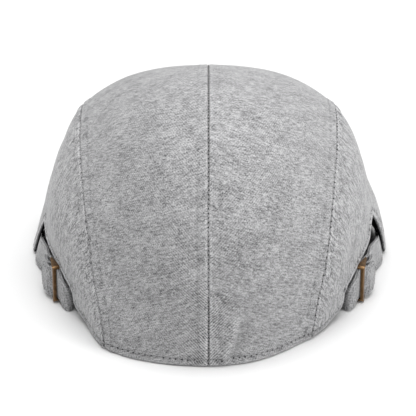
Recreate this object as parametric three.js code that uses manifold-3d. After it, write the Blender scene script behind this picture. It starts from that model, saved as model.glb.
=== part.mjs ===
// A flat cap with a rounded, padded-looking crown, seen from behind in the photograph.
// Millimetres, +Z up. The back of the cap faces -Y, the peak points to +Y, and X = 0 is the centre seam.
import * as THREE from 'three';
import { mergeVertices } from 'three/addons/utils/BufferGeometryUtils.js';
import Module from 'manifold-3d';

const SIZE = {
  length: 254,          // back of the crown to the front of the peak
  width: 194,           // across the flared side panels
  height: 120,          // top of the crown above the table
  cloth: 1.8,           // crown wall, with its turned seams
  peakBoard: 3.2,       // peak, cloth over a board
  seamGap: 0.3,         // between pieces that are sewn together
  strapWidth: 17.2,
  strapCloth: 1.6,
  strapRoom: 10,        // room in which the strap turns out round the rear edge of the notch
  strapPlay: 0.4,       // between an edge of the strap and the buckle
  tabLength: 15.5,      // buckle middle to the place where the tab comes free of its fold
  tailLength: 8.6,      // buckle middle to the rounded end of the strap
  tailRound: 5.6,       // height of each rounded corner of that end
  tailSag: 0.5,
  buckleLength: 13,
  buckleWall: 1.5,
  buckleDepth: 4.2,
  buckleCorner: 1.6,
  barDepth: 1.2,        // the low far bar that the tab is folded round
  barPlay: 0.2,         // between that bar and the cloth round it
  buckleOut: 4.4,       // from the hem line out to the middle of the buckle
  buckleAhead: 1,
  buckleUp: 3.9,
};
const HALF = SIZE.width / 2;
const REACH = SIZE.length / 2;

// Cross-sections of the right half of the crown, from the back hem (at 0) to the front edge (at 1).
// x is a share of HALF, y a share of REACH and z a share of the height.
// ridge is the centre seam, seam the side seam and hem the lower edge.
// turn is the direction of the cloth at the side seam, rise its direction at the hem.
const CROWN_COLUMNS = [
  'at', 'ridgeY', 'ridgeZ', 'seamX', 'seamY', 'seamZ', 'hemX', 'hemY', 'hemZ',
  'turnX', 'turnY', 'turnZ', 'riseX', 'riseY', 'riseZ',
];
const CROWN = [
  [0.00, -0.978, 0.000, 0.545, -0.750, 0.000, 0.545, -0.750, 0.000, -0.72, -0.69, 0.00, 0.13, -0.10, 0.98],
  [0.08, -0.996, 0.225, 0.570, -0.760, 0.150, 0.605, -0.695, 0.005, -0.76, -0.62, 0.12, 0.16, -0.12, 0.98],
  [0.16, -1.000, 0.465, 0.605, -0.730, 0.300, 0.665, -0.625, 0.020, -0.74, -0.56, 0.34, 0.18, -0.14, 0.97],
  [0.25, -0.935, 0.695, 0.635, -0.670, 0.460, 0.720, -0.555, 0.045, -0.66, -0.46, 0.58, 0.18, -0.16, 0.97],
  [0.35, -0.770, 0.900, 0.665, -0.535, 0.605, 0.795, -0.415, 0.060, -0.64, -0.30, 0.71, 0.12, -0.12, 0.98],
  [0.46, -0.490, 1.012, 0.690, -0.345, 0.710, 0.890, -0.270, 0.066, -0.66, -0.14, 0.74, -0.04, -0.04, 1.00],
  [0.57, -0.165, 1.000, 0.700, -0.120, 0.760, 0.970, -0.120, 0.042, -0.70, 0.00, 0.71, -0.24, 0.00, 0.97],
  [0.68, 0.175, 0.845, 0.700, 0.110, 0.710, 1.000, 0.040, 0.012, -0.74, 0.16, 0.65, -0.34, 0.06, 0.94],
  [0.79, 0.455, 0.615, 0.705, 0.290, 0.550, 0.985, 0.195, 0.010, -0.76, 0.36, 0.54, -0.32, 0.10, 0.94],
  [0.90, 0.695, 0.390, 0.745, 0.415, 0.335, 0.920, 0.345, 0.025, -0.70, 0.62, 0.34, -0.16, 0.06, 0.98],
  [1.00, 0.875, 0.205, 0.815, 0.475, 0.060, 0.815, 0.475, 0.060, -0.62, 0.77, 0.16, -0.10, -0.20, 0.97],
];
const PULL = { seamUp: 0.34, ridge: 0.45, hemUp: 0.36, seamDown: 0.26 };

// Lower edge of the side panel: how far up from the hem (0) to the side seam (1) the notch cuts.
const NOTCH = [
  [0.00, 0.00],
  [0.250, 0.00],
  [0.256, 0.155],
  [0.268, 0.175],
  [0.31, 0.165],
  [0.37, 0.160],
  [0.43, 0.160],
  [0.47, 0.165],
  [0.50, 0.185],
  [0.54, 0.242],
  [0.575, 0.275],
  [0.600, 0.230],
  [0.630, 0.140],
  [0.650, 0.070],
  [0.660, 0.00],
  [1.00, 0.00],
];

// A smooth curve through one column of a table, without overshoot where the column turns.
function smoothColumn(rows, column, at) {
  const last = rows.length - 1;
  let i = 0;
  while (i < last - 1 && at > rows[i + 1][0]) i += 1;
  const slope = (j) => {
    const lo = rows[Math.max(0, j - 1)];
    const hi = rows[Math.min(last, j + 1)];
    return (hi[column] - lo[column]) / (hi[0] - lo[0]);
  };
  const step = rows[i + 1][0] - rows[i][0];
  const u = (at - rows[i][0]) / step;
  const p = rows[i][column];
  const q = rows[i + 1][column];
  const m = slope(i) * step;
  const n = slope(i + 1) * step;
  const u2 = u * u;
  const u3 = u2 * u;
  return p * (2 * u3 - 3 * u2 + 1) + m * (u3 - 2 * u2 + u) + q * (3 * u2 - 2 * u3) + n * (u3 - u2);
}

// A straight-line reading of a two-column table.
function readLine(rows, at) {
  let i = 0;
  while (i < rows.length - 2 && at > rows[i + 1][0]) i += 1;
  const u = (at - rows[i][0]) / (rows[i + 1][0] - rows[i][0]);
  return rows[i][1] * (1 - u) + rows[i + 1][1] * u;
}

function crownRow(at) {
  const row = {};
  CROWN_COLUMNS.forEach((name, column) => {
    row[name] = column === 0 ? at : smoothColumn(CROWN, column, at);
  });
  return {
    ridge: new THREE.Vector3(0, row.ridgeY * REACH, row.ridgeZ * SIZE.height),
    seam: new THREE.Vector3(row.seamX * HALF, row.seamY * REACH, row.seamZ * SIZE.height),
    hem: new THREE.Vector3(row.hemX * HALF, row.hemY * REACH, row.hemZ * SIZE.height),
    turn: new THREE.Vector3(row.turnX, row.turnY, row.turnZ).normalize(),
    rise: new THREE.Vector3(row.riseX, row.riseY, row.riseZ).normalize(),
  };
}

function bezier(p, q, r, s, t) {
  const u = 1 - t;
  return new THREE.Vector3()
    .addScaledVector(p, u * u * u)
    .addScaledVector(q, 3 * u * u * t)
    .addScaledVector(r, 3 * u * t * t)
    .addScaledVector(s, t * t * t);
}

// A point on the outside of the right half of the crown.
// across runs from 0 at the hem through 1 at the side seam to 2 at the centre seam.
function crownPoint(at, across) {
  const row = crownRow(at);
  if (across > 1) {
    const span = row.seam.distanceTo(row.ridge);
    const first = row.seam.clone().addScaledVector(row.turn, PULL.seamUp * span);
    const second = row.ridge.clone();
    second.x += PULL.ridge * span;
    return bezier(row.seam, first, second, row.ridge, across - 1);
  }
  const span = row.hem.distanceTo(row.seam);
  const first = row.hem.clone().addScaledVector(row.rise, PULL.hemUp * span);
  const second = row.seam.clone().addScaledVector(row.turn, -PULL.seamDown * span);
  return bezier(row.hem, first, second, row.seam, across);
}

// The outward direction of the crown wall.
function crownNormal(at, across) {
  const d = 0.004;
  const lowAt = Math.max(0, at - d);
  const highAt = Math.min(1, at + d);
  const side = across > 1 ? [1, 2] : [0, 1];
  const lowAcross = Math.max(side[0], across - d);
  const highAcross = Math.min(side[1], across + d);
  const along = crownPoint(highAt, across).sub(crownPoint(lowAt, across));
  const over = crownPoint(at, highAcross).sub(crownPoint(at, lowAcross));
  return along.cross(over).normalize();
}

// A closed body from an outer and an inner sheet with the same rows and columns.
function shell(outer, inner) {
  const rows = outer.length;
  const columns = outer[0].length;
  const positions = [];
  const put = (p) => positions.push(p.x, p.y, p.z);
  outer.forEach((line) => line.forEach(put));
  inner.forEach((line) => line.forEach(put));
  const out = (i, j) => i * columns + j;
  const back = (i, j) => rows * columns + i * columns + j;
  const faces = [];
  const quad = (a, b, c, d) => faces.push(a, b, c, a, c, d);
  for (let i = 0; i < rows - 1; i += 1) {
    for (let j = 0; j < columns - 1; j += 1) {
      quad(out(i, j), out(i + 1, j), out(i + 1, j + 1), out(i, j + 1));
      quad(back(i, j), back(i, j + 1), back(i + 1, j + 1), back(i + 1, j));
    }
  }
  for (let i = 0; i < rows - 1; i += 1) {
    quad(out(i, 0), back(i, 0), back(i + 1, 0), out(i + 1, 0));
    quad(out(i, columns - 1), out(i + 1, columns - 1), back(i + 1, columns - 1), back(i, columns - 1));
  }
  for (let j = 0; j < columns - 1; j += 1) {
    quad(out(0, j), out(0, j + 1), back(0, j + 1), back(0, j));
    quad(out(rows - 1, j), back(rows - 1, j), back(rows - 1, j + 1), out(rows - 1, j + 1));
  }
  return geometryFrom(positions, faces);
}

function geometryFrom(positions, faces) {
  const geometry = new THREE.BufferGeometry();
  geometry.setAttribute('position', new THREE.Float32BufferAttribute(positions, 3));
  geometry.setIndex(faces);
  return geometry;
}

// Places along the crown where the columns of a panel stand.
function places(from, to, count, also = []) {
  const list = [];
  for (let i = 0; i <= count; i += 1) list.push(from + (to - from) * i / count);
  for (const extra of also) {
    if (extra <= from || extra >= to) continue;
    const near = list.findIndex((v) => Math.abs(v - extra) < 0.4 * (to - from) / count);
    if (near > 0 && near < list.length - 1) list[near] = extra;
    else list.push(extra);
  }
  return [...new Set(list)].sort((p, q) => p - q);
}

// One panel of the crown between two lines, each given as a function of the place along the crown.
function panel(stations, count, low, high, flatStart) {
  const outer = [];
  const inner = [];
  for (const at of stations) {
    const outerLine = [];
    const innerLine = [];
    for (let j = 0; j <= count; j += 1) {
      const across = low(at) + (high(at) - low(at)) * j / count;
      const point = crownPoint(at, across);
      const normal = crownNormal(at, across);
      const under = point.clone().addScaledVector(normal, -SIZE.cloth);
      if (flatStart && at === stations[0]) under.z = point.z;
      if (at > 0.97) {
        seatOnPeak(point);
        seatOnPeak(under);
      }
      outerLine.push(point);
      innerLine.push(under);
    }
    outer.push(outerLine);
    inner.push(innerLine);
  }
  return shell(outer, inner);
}

// The front edge of the crown stands on the peak, a seam gap above it.
function seatOnPeak(point) {
  point.z = Math.max(point.z, peakHeight(point.x, point.y) + SIZE.seamGap);
}

// The share of the way across that half a seam gap takes.
function gapShare(at, across, toward) {
  const here = crownPoint(at, across);
  const there = crownPoint(at, across + 0.01 * toward);
  return Math.min(0.45, 0.01 * (SIZE.seamGap / 2) / Math.max(1e-6, here.distanceTo(there)));
}

function topPanel() {
  const low = (at) => 1 + gapShare(at, 1, 1);
  const high = (at) => 2 - gapShare(at, 2, -1);
  return panel(places(0, 1, 30), 14, low, high, true);
}

function sidePanel() {
  const low = (at) => readLine(NOTCH, at);
  const high = (at) => 1 - gapShare(at, 1, -1);
  const stations = places(0.012, 0.988, 34, NOTCH.map((row) => row[0]));
  return panel(stations, 12, low, high, false);
}

// The upper face of the peak: arched from side to side and falling a little toward the front.
const PEAK = {
  crest: 0.208,       // share of the height at the middle of its rear edge
  sideDrop: 0.203,    // share of the height lost at its widest
  frontDrop: 0.025,   // share of the height lost at its front
  rear: 0.58,         // shares of REACH
  front: 1.00,
  tips: 0.40,
  rearSpread: 0.86,   // shares of HALF
  frontSpread: 0.93,
};

function peakHeight(x, y) {
  const side = x / (PEAK.frontSpread * HALF);
  const front = (y - PEAK.rear * REACH) / ((PEAK.front - PEAK.rear) * REACH);
  const drop = PEAK.sideDrop * side * side + PEAK.frontDrop * Math.max(0, front) ** 2;
  return SIZE.height * (PEAK.crest - drop);
}

function peak() {
  const columns = 36;
  const rows = 8;
  const outer = [];
  const inner = [];
  for (let i = 0; i <= columns; i += 1) {
    const turn = Math.PI * 0.47 * (2 * i / columns - 1);
    const across = Math.sin(turn);
    const ahead = Math.cos(turn);
    const rearY = REACH * (PEAK.tips + (PEAK.rear - PEAK.tips) * ahead ** 1.2);
    const frontY = REACH * (PEAK.tips + (PEAK.front - PEAK.tips) * ahead ** 0.8);
    const outerLine = [];
    const innerLine = [];
    for (let j = 0; j <= rows; j += 1) {
      const u = j / rows;
      const x = HALF * across * (PEAK.rearSpread + (PEAK.frontSpread - PEAK.rearSpread) * u * ahead ** 0.5);
      const y = rearY + (frontY - rearY) * u;
      const z = peakHeight(x, y);
      outerLine.push(new THREE.Vector3(x, y, z));
      innerLine.push(new THREE.Vector3(x, y, z - SIZE.peakBoard));
    }
    outer.push(outerLine);
    inner.push(innerLine);
  }
  return shell(outer, inner);
}

// The buckle stands beside the notch, in its own frame: along the strap, outward from it, and up.
const BUCKLE_AT = 0.36;
const SPLAY = 25 * Math.PI / 180;
const OFF_HEM = new THREE.Vector3(SIZE.buckleOut, SIZE.buckleAhead, SIZE.buckleUp);
const buckleMiddle = crownPoint(BUCKLE_AT, 0).add(OFF_HEM);
const BUCKLE_HEIGHT = SIZE.strapWidth + 2 * (SIZE.strapPlay + SIZE.buckleWall);

function besideBuckle(along, outward, up = 0) {
  const s = Math.sin(SPLAY);
  const c = Math.cos(SPLAY);
  return new THREE.Vector3(
    buckleMiddle.x + along * s + outward * c,
    buckleMiddle.y + along * c - outward * s,
    buckleMiddle.z + up,
  );
}

// A point inside the crown wall, at a given depth under its outer face.
function underWall(at, across, depth) {
  return crownPoint(at, across).addScaledVector(crownNormal(at, across), -depth);
}

// Points of a smooth curve through the given ones; each carries its top and bottom height as well.
function smoothPath(knots, steps) {
  const path = [];
  for (let i = 0; i < knots.length - 1; i += 1) {
    const a = knots[Math.max(0, i - 1)];
    const b = knots[i];
    const c = knots[i + 1];
    const d = knots[Math.min(knots.length - 1, i + 2)];
    for (let k = 0; k < steps; k += 1) {
      const u = k / steps;
      path.push(b.map((value, n) => {
        const m0 = (c[n] - a[n]) / 2;
        const m1 = (d[n] - b[n]) / 2;
        const e = c[n] - value;
        return value + u * (m0 + u * (3 * e - 2 * m0 - m1 + u * (m0 + m1 - 2 * e)));
      }));
    }
  }
  path.push(knots[knots.length - 1]);
  return path;
}

// A flat strap standing on edge along a path.
// Each place is its lower and its upper edge: [x, y, z, x, y, z].
function strap(path, thick) {
  const outer = [];
  const inner = [];
  const bands = 3;
  const low = (place) => new THREE.Vector3(place[0], place[1], place[2]);
  const high = (place) => new THREE.Vector3(place[3], place[4], place[5]);
  path.forEach((place, i) => {
    const before = path[Math.max(0, i - 1)];
    const after = path[Math.min(path.length - 1, i + 1)];
    const way = low(after).add(high(after)).sub(low(before)).sub(high(before));
    const up = high(place).sub(low(place));
    const out = way.cross(up).normalize();
    const outerLine = [];
    const innerLine = [];
    for (let j = 0; j <= bands; j += 1) {
      const middle = low(place).lerp(high(place), j / bands);
      outerLine.push(middle.clone().addScaledVector(out, thick / 2));
      innerLine.push(middle.clone().addScaledVector(out, -thick / 2));
    }
    outer.push(outerLine);
    inner.push(innerLine);
  });
  return shell(outer, inner);
}

// A place of a strap that stands upright.
function upright(x, y, bottom, top) {
  return [x, y, bottom, x, y, top];
}

function uprightAtBuckle(along, outward, bottom, top) {
  const p = besideBuckle(along, outward);
  return upright(p.x, p.y, p.z + bottom, p.z + top);
}

// A place of a strap that lies against the inside of the crown wall and may hang below its hem.
// ease is how much further in it lies where the wall curves, as a share of the gap.
function againstWall(at, low, high, ease, below = 0) {
  const depth = SIZE.cloth + SIZE.seamGap * (1 + ease) + SIZE.strapCloth / 2;
  const foot = underWall(at, low, depth);
  const head = underWall(at, high, depth + 0.5 * SIZE.seamGap);
  foot.addScaledVector(head.clone().sub(foot).normalize(), -below);
  return [...foot.toArray(), ...head.toArray()];
}

// Levels of the layers in the buckle, outward from the middle of the strap.
const LAYER = SIZE.strapCloth + SIZE.seamGap;
const NEAR_BAR = SIZE.strapCloth / 2 + SIZE.seamGap;
const BUCKLE_TOP = NEAR_BAR + 1.2 * SIZE.buckleWall;
const BUCKLE_FOOT = BUCKLE_TOP - SIZE.buckleDepth;
const UNDER_BAR = BUCKLE_FOOT - LAYER / 2 - SIZE.barPlay;
const OVER_BAR = BUCKLE_FOOT + SIZE.barDepth + LAYER / 2 + SIZE.barPlay;
const TAIL = OVER_BAR + LAYER;

// Where the strap turns out round the rear edge of the notch, from the corner of the hem.
// forward and outward are shares of strapRoom, low and high are shares of strapWidth.
const TURN_OUT = [
  { forward: 0.35, outward: -0.22, low: -0.20, high: 0.52 },
  { forward: 0.67, outward: -0.12, low: -0.22, high: 0.52 },
  { forward: 0.89, outward: 0.03, low: -0.24, high: 0.51 },
  { forward: 0.83, outward: 0.19, low: -0.26, high: 0.51 },
  { forward: 0.61, outward: 0.30, low: -0.28, high: 0.51 },
  { forward: 0.53, outward: 0.44, low: -0.28, high: 0.53 },
  { forward: 0.69, outward: 0.59, low: -0.25, high: 0.59 },
  { forward: 0.96, outward: 0.75, low: -0.20, high: 0.67 },
];
const NOTCH_CORNER = 0.25;
// Its sewn end against the inside of the wall: the place along the crown, then low and high edge across.
const SEWN_END = [[0.170, 0.02, 0.26], [0.205, 0.02, 0.23], [0.236, 0.02, 0.170]];
const SEWN_EASE = 0.5;

// The way of the strap through the buckle: shares of half its length, and of the level of the tail.
const THROUGH_BUCKLE = [
  [-1.045, -0.07], [-0.71, -0.05], [-0.42, 0.20], [-0.10, 0.66], [0.22, 0.98], [0.60, 1.00], [1.00, 1.00],
];
// The rounded end of the tail: how far short of its tip, and how far in from its edges.
// Both are shares of tailRound.
const TAIL_END = [[0.48, 0.09], [0.23, 0.25], [0.07, 0.57], [0.00, 1.00]];

// The strap from the rear edge of the notch: under the near bar of the buckle, then out over the tab.
function rearStrap() {
  const half = SIZE.strapWidth / 2;
  const end = SIZE.buckleLength / 2;
  const corner = crownPoint(NOTCH_CORNER, 0);
  const knots = SEWN_END.map(([at, low, high]) => againstWall(at, low, high, SEWN_EASE));
  for (const { forward, outward, low, high } of TURN_OUT) {
    const x = corner.x + outward * SIZE.strapRoom;
    const y = corner.y + forward * SIZE.strapRoom;
    knots.push(upright(x, y, corner.z + low * SIZE.strapWidth, corner.z + high * SIZE.strapWidth));
  }
  for (const [along, outward] of THROUGH_BUCKLE) {
    knots.push(uprightAtBuckle(along * end, outward * TAIL, -half, half));
  }
  for (const [short, inset] of TAIL_END) {
    const edge = half - inset * SIZE.tailRound;
    const along = SIZE.tailLength - short * SIZE.tailRound;
    knots.push(uprightAtBuckle(along, TAIL, -edge - SIZE.tailSag, edge - SIZE.tailSag));
  }
  return strap(smoothPath(knots, 2), SIZE.strapCloth);
}

// The two runs of the tab, over the far bar and back under it: the share of the way from the buckle to
// tabLength, the distance off the level of that run in layers, and the lift as a share of strapWidth.
const TAB_OVER = [[0.78, -0.63, 0.010], [0.44, -0.32, 0.005], [0.17, -0.05, 0], [-0.055, 0, 0]];
const TAB_UNDER = [
  [-0.055, 0, 0], [0.17, 0, 0], [0.44, 0.10, 0.005], [0.78, 0, 0.010], [1.72, -1.21, 0],
];
// Its sewn end: places along the crown, its lower and upper edge across, its ease there, and how far
// it hangs below the hem as a share of strapWidth.
// The first place is still in the open notch, where the tab bulges out.
const TAB_SEWN = [
  [0.598, 0, 0.125, -4, 0.165],
  [0.667, 0.008, 0.118, 1.8, 0],
  [0.695, 0.010, 0.116, 1.4, 0],
  [0.720, 0.012, 0.116, 1.4, 0],
];

// The tab from the front edge of the notch, folded round the far bar of the buckle.
function frontTab() {
  const half = SIZE.strapWidth / 2;
  const bar = SIZE.buckleLength / 2;
  const fold = bar - SIZE.buckleWall - LAYER / 2 - 1.75 * SIZE.barPlay;
  const knots = [];
  const run = (rows, level) => {
    for (const [share, off, rise] of rows) {
      const along = bar + share * (SIZE.tabLength - bar);
      const lift = rise * SIZE.strapWidth;
      knots.push(uprightAtBuckle(along, level + off * LAYER, lift - half, lift + half));
    }
  };
  run(TAB_OVER, OVER_BAR);
  for (const share of [0.86, 0.5, 0.14]) {
    const level = UNDER_BAR + share * (OVER_BAR - UNDER_BAR);
    const along = share === 0.5 ? fold : fold + LAYER / 4;
    knots.push(uprightAtBuckle(along, level, -half, half));
  }
  run(TAB_UNDER, UNDER_BAR);
  for (const [at, low, high, ease, below] of TAB_SEWN) {
    knots.push(againstWall(at, low, high, ease, below * SIZE.strapWidth));
  }
  return strap(smoothPath(knots, 2), SIZE.strapCloth);
}

// A closed three.js shape as a solid that can be cut.
function solidFrom(manifold, geometry) {
  geometry.deleteAttribute('normal');
  geometry.deleteAttribute('uv');
  const merged = mergeVertices(geometry, 1e-4);
  return new manifold.Manifold(new manifold.Mesh({
    numProp: 3,
    vertProperties: new Float32Array(merged.attributes.position.array),
    triVerts: new Uint32Array(merged.index.array),
  }));
}

function block(length, height, depth, along, outward, slope = 0) {
  const geometry = new THREE.BoxGeometry(length, height, depth);
  geometry.rotateY(slope);
  geometry.translate(along, 0, outward);
  return geometry;
}

// The slide buckle: a rounded frame whose near bar is cut free of the strap below it.
// Its walls fall from the near bar to the far bar, which is a low one for the tab.
function buckle(manifold) {
  const { buckleLength, buckleWall, buckleDepth, buckleCorner, barDepth } = SIZE;
  const x = buckleLength / 2;
  const y = BUCKLE_HEIGHT / 2;
  const r = buckleCorner;
  const outline = new THREE.Shape();
  outline.moveTo(-x + r, -y);
  outline.lineTo(x - r, -y);
  outline.absarc(x - r, -y + r, r, -Math.PI / 2, 0, false);
  outline.lineTo(x, y - r);
  outline.absarc(x - r, y - r, r, 0, Math.PI / 2, false);
  outline.lineTo(-x + r, y);
  outline.absarc(-x + r, y - r, r, Math.PI / 2, Math.PI, false);
  outline.lineTo(-x, -y + r);
  outline.absarc(-x + r, -y + r, r, Math.PI, Math.PI * 1.5, false);
  const window = new THREE.Path();
  window.moveTo(-x + buckleWall, -y + buckleWall);
  window.lineTo(-x + buckleWall, y - buckleWall);
  window.lineTo(x - buckleWall, y - buckleWall);
  window.lineTo(x - buckleWall, -y + buckleWall);
  window.closePath();
  outline.holes.push(window);
  const extrude = { depth: buckleDepth, bevelEnabled: false, curveSegments: 5 };
  const frame = new THREE.ExtrudeGeometry(outline, extrude);
  frame.translate(0, 0, BUCKLE_FOOT);
  const clear = BUCKLE_HEIGHT - 2 * buckleWall;
  const strapWay = NEAR_BAR - BUCKLE_FOOT + 1;
  const underNear = block(buckleWall + 2, clear, strapWay, -x, NEAR_BAR - strapWay / 2);
  const fall = buckleDepth - barDepth;
  const run = buckleLength - 2 * buckleWall;
  const slope = Math.atan2(fall, run);
  const above = buckleDepth * 2;
  const slopeOut = (BUCKLE_TOP + BUCKLE_FOOT + barDepth) / 2 + above / 2 / Math.cos(slope);
  const overWalls = block(buckleLength * 2, BUCKLE_HEIGHT * 2, above, 0, slopeOut, slope);
  const body = solidFrom(manifold, frame)
    .subtract(solidFrom(manifold, underNear))
    .subtract(solidFrom(manifold, overWalls));
  const mesh = body.getMesh();
  const positions = [];
  for (let i = 0; i < mesh.vertProperties.length; i += mesh.numProp) {
    const [along, up, outward] = mesh.vertProperties.slice(i, i + 3);
    const p = besideBuckle(along, outward, up);
    positions.push(p.x, p.y, p.z);
  }
  const faces = [];
  for (let i = 0; i < mesh.triVerts.length; i += 3) {
    faces.push(mesh.triVerts[i], mesh.triVerts[i + 1], mesh.triVerts[i + 2]);
  }
  return geometryFrom(positions, faces);
}

const grey = new THREE.Color(0.52, 0.52, 0.53);
const root = new THREE.Group();
root.name = 'flat_cap';

function add(name, geometry, color, metal) {
  geometry.computeVertexNormals();
  const metalness = metal ? 0.9 : 0;
  const roughness = metal ? 0.4 : 0.95;
  const material = new THREE.MeshStandardMaterial({ color, metalness, roughness });
  material.name = name;
  const mesh = new THREE.Mesh(geometry, material);
  mesh.name = name;
  root.add(mesh);
}

// The other side of the cap: the same body with X reversed.
function mirrored(geometry) {
  const copy = geometry.clone();
  const p = copy.attributes.position;
  for (let i = 0; i < p.count; i += 1) p.setX(i, -p.getX(i));
  const index = copy.index.array;
  for (let i = 0; i < index.length; i += 3) {
    const keep = index[i];
    index[i] = index[i + 1];
    index[i + 1] = keep;
  }
  return copy;
}

function addPair(name, geometry, color, metal) {
  add(`${name}_right`, geometry, color, metal);
  add(`${name}_left`, mirrored(geometry), color.clone(), metal);
}

addPair('top_panel', topPanel(), grey.clone(), false);
addPair('side_panel', sidePanel(), grey.clone(), false);
add('peak', peak(), grey.clone(), false);
addPair('strap', rearStrap(), grey.clone(), false);
addPair('tab', frontTab(), grey.clone(), false);
const manifold = await Module();
manifold.setup();
addPair('buckle', buckle(manifold), new THREE.Color(0.50, 0.36, 0.22), true);

export default root;
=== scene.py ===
import math

import bmesh
import bpy
import numpy as np
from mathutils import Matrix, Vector, kdtree


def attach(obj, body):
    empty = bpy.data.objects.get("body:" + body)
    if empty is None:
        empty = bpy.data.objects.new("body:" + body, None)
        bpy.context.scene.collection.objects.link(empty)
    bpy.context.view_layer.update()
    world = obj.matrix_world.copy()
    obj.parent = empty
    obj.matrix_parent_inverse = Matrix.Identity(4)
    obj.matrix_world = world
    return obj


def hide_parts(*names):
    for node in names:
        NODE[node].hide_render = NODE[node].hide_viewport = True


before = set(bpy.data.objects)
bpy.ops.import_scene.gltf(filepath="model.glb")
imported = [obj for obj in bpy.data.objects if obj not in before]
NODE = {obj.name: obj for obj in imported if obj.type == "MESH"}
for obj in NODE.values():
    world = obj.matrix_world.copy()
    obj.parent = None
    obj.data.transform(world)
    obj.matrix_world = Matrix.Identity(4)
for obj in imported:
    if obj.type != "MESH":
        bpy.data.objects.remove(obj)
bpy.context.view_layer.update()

# A heather-grey flat cap, standing on its hem with its back to the camera.
# Lengths are worked out in millimetres, and meshes are made in metres.
# The back of the cap faces -Y, the peak points to +Y, and X = 0 is the centre seam.

bl_info = {
    "name": "Flat cap",
    "version": (1, 0, 0),
    "blender": (4, 5, 0),
    "location": "View3D > Sidebar > Flat cap",
    "description": "Dresses the packed solids of a flat cap with cloth, stitching and buckles",
    "category": "Add Mesh",
}

MM = 0.001

# Half the width, half the length and the height of the crown, as in the part's source.
HALF, REACH, HEIGHT = 97.0, 127.0, 120.0

# Up to the heading Stage, a bare length is in millimetres.

# Cross-sections of the right half of the crown, from the back hem (at 0) to the front edge (at 1).
# x is a share of HALF, y of REACH and z of HEIGHT. ridge is the centre seam, seam the side seam
# and hem the lower edge. turn is the direction of the cloth at the side seam, rise at the hem.
COLUMNS = (
    "at", "ridge_y", "ridge_z", "seam_x", "seam_y", "seam_z", "hem_x", "hem_y", "hem_z",
    "turn_x", "turn_y", "turn_z", "rise_x", "rise_y", "rise_z",
)
CROWN = np.array([
    [0.00, -0.978, 0.000, 0.545, -0.750, 0.000, 0.545, -0.750, 0.000, -0.72, -0.69, 0.00, 0.13, -0.10, 0.98],
    [0.08, -0.996, 0.225, 0.570, -0.760, 0.150, 0.605, -0.695, 0.005, -0.76, -0.62, 0.12, 0.16, -0.12, 0.98],
    [0.16, -1.000, 0.465, 0.605, -0.730, 0.300, 0.665, -0.625, 0.020, -0.74, -0.56, 0.34, 0.18, -0.14, 0.97],
    [0.25, -0.935, 0.695, 0.635, -0.670, 0.460, 0.720, -0.555, 0.045, -0.66, -0.46, 0.58, 0.18, -0.16, 0.97],
    [0.35, -0.770, 0.900, 0.665, -0.535, 0.605, 0.795, -0.415, 0.060, -0.64, -0.30, 0.71, 0.12, -0.12, 0.98],
    [0.46, -0.490, 1.012, 0.690, -0.345, 0.710, 0.890, -0.270, 0.066, -0.66, -0.14, 0.74, -0.04, -0.04, 1.00],
    [0.57, -0.165, 1.000, 0.700, -0.120, 0.760, 0.970, -0.120, 0.042, -0.70, 0.00, 0.71, -0.24, 0.00, 0.97],
    [0.68, 0.175, 0.845, 0.700, 0.110, 0.710, 1.000, 0.040, 0.012, -0.74, 0.16, 0.65, -0.34, 0.06, 0.94],
    [0.79, 0.455, 0.615, 0.705, 0.290, 0.550, 0.985, 0.195, 0.010, -0.76, 0.36, 0.54, -0.32, 0.10, 0.94],
    [0.90, 0.695, 0.390, 0.745, 0.415, 0.335, 0.920, 0.345, 0.025, -0.70, 0.62, 0.34, -0.16, 0.06, 0.98],
    [1.00, 0.875, 0.205, 0.815, 0.475, 0.060, 0.815, 0.475, 0.060, -0.62, 0.77, 0.16, -0.10, -0.20, 0.97],
])

# How far the curves between hem, side seam and centre seam keep their first direction: shares of the span.
SEAM_UP, RIDGE_PULL, HEM_UP, SEAM_DOWN = 0.34, 0.45, 0.36, 0.26

# How far up from the hem (0) to the side seam (1) the notch cuts, at each place along the crown.
NOTCH = np.array([
    [0.000, 0.000], [0.250, 0.000], [0.256, 0.155], [0.268, 0.175], [0.310, 0.165], [0.370, 0.160],
    [0.430, 0.160], [0.470, 0.165], [0.500, 0.185], [0.540, 0.242], [0.575, 0.275], [0.600, 0.230],
    [0.630, 0.140], [0.650, 0.070], [0.660, 0.000], [1.000, 0.000],
])

# The peak: shares of HEIGHT lost and kept, then shares of REACH and HALF.
PEAK = {"crest": 0.208, "side_drop": 0.203, "front_drop": 0.025, "rear": 0.58, "front": 1.00,
        "tips": 0.40, "rear_spread": 0.86, "front_spread": 0.93}

# The cloth's thickness, the gap between panels, the width of the allowance pressed open under a seam, and
# how many times sharper the cloth turns in at a seam than at a free edge.
CLOTH = 1.8
SEAM_GAP = 0.12
SEAM_ALLOWANCE = 5.2
SEAM_SHARP = 3.0

# The cap's two sides differ. 1 is the wearer's right and -1 the left: how far each stands out in front of
# its notch. Then the share by which the left notch is lower, and where along the crown that sets in.
SIDE_SWELL = {1: 4.0, -1: 1.8}
LEFT_NOTCH_LOWER = 0.14
LEFT_NOTCH_FROM = (0.47, 0.54)


# Settings that a user would change

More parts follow.
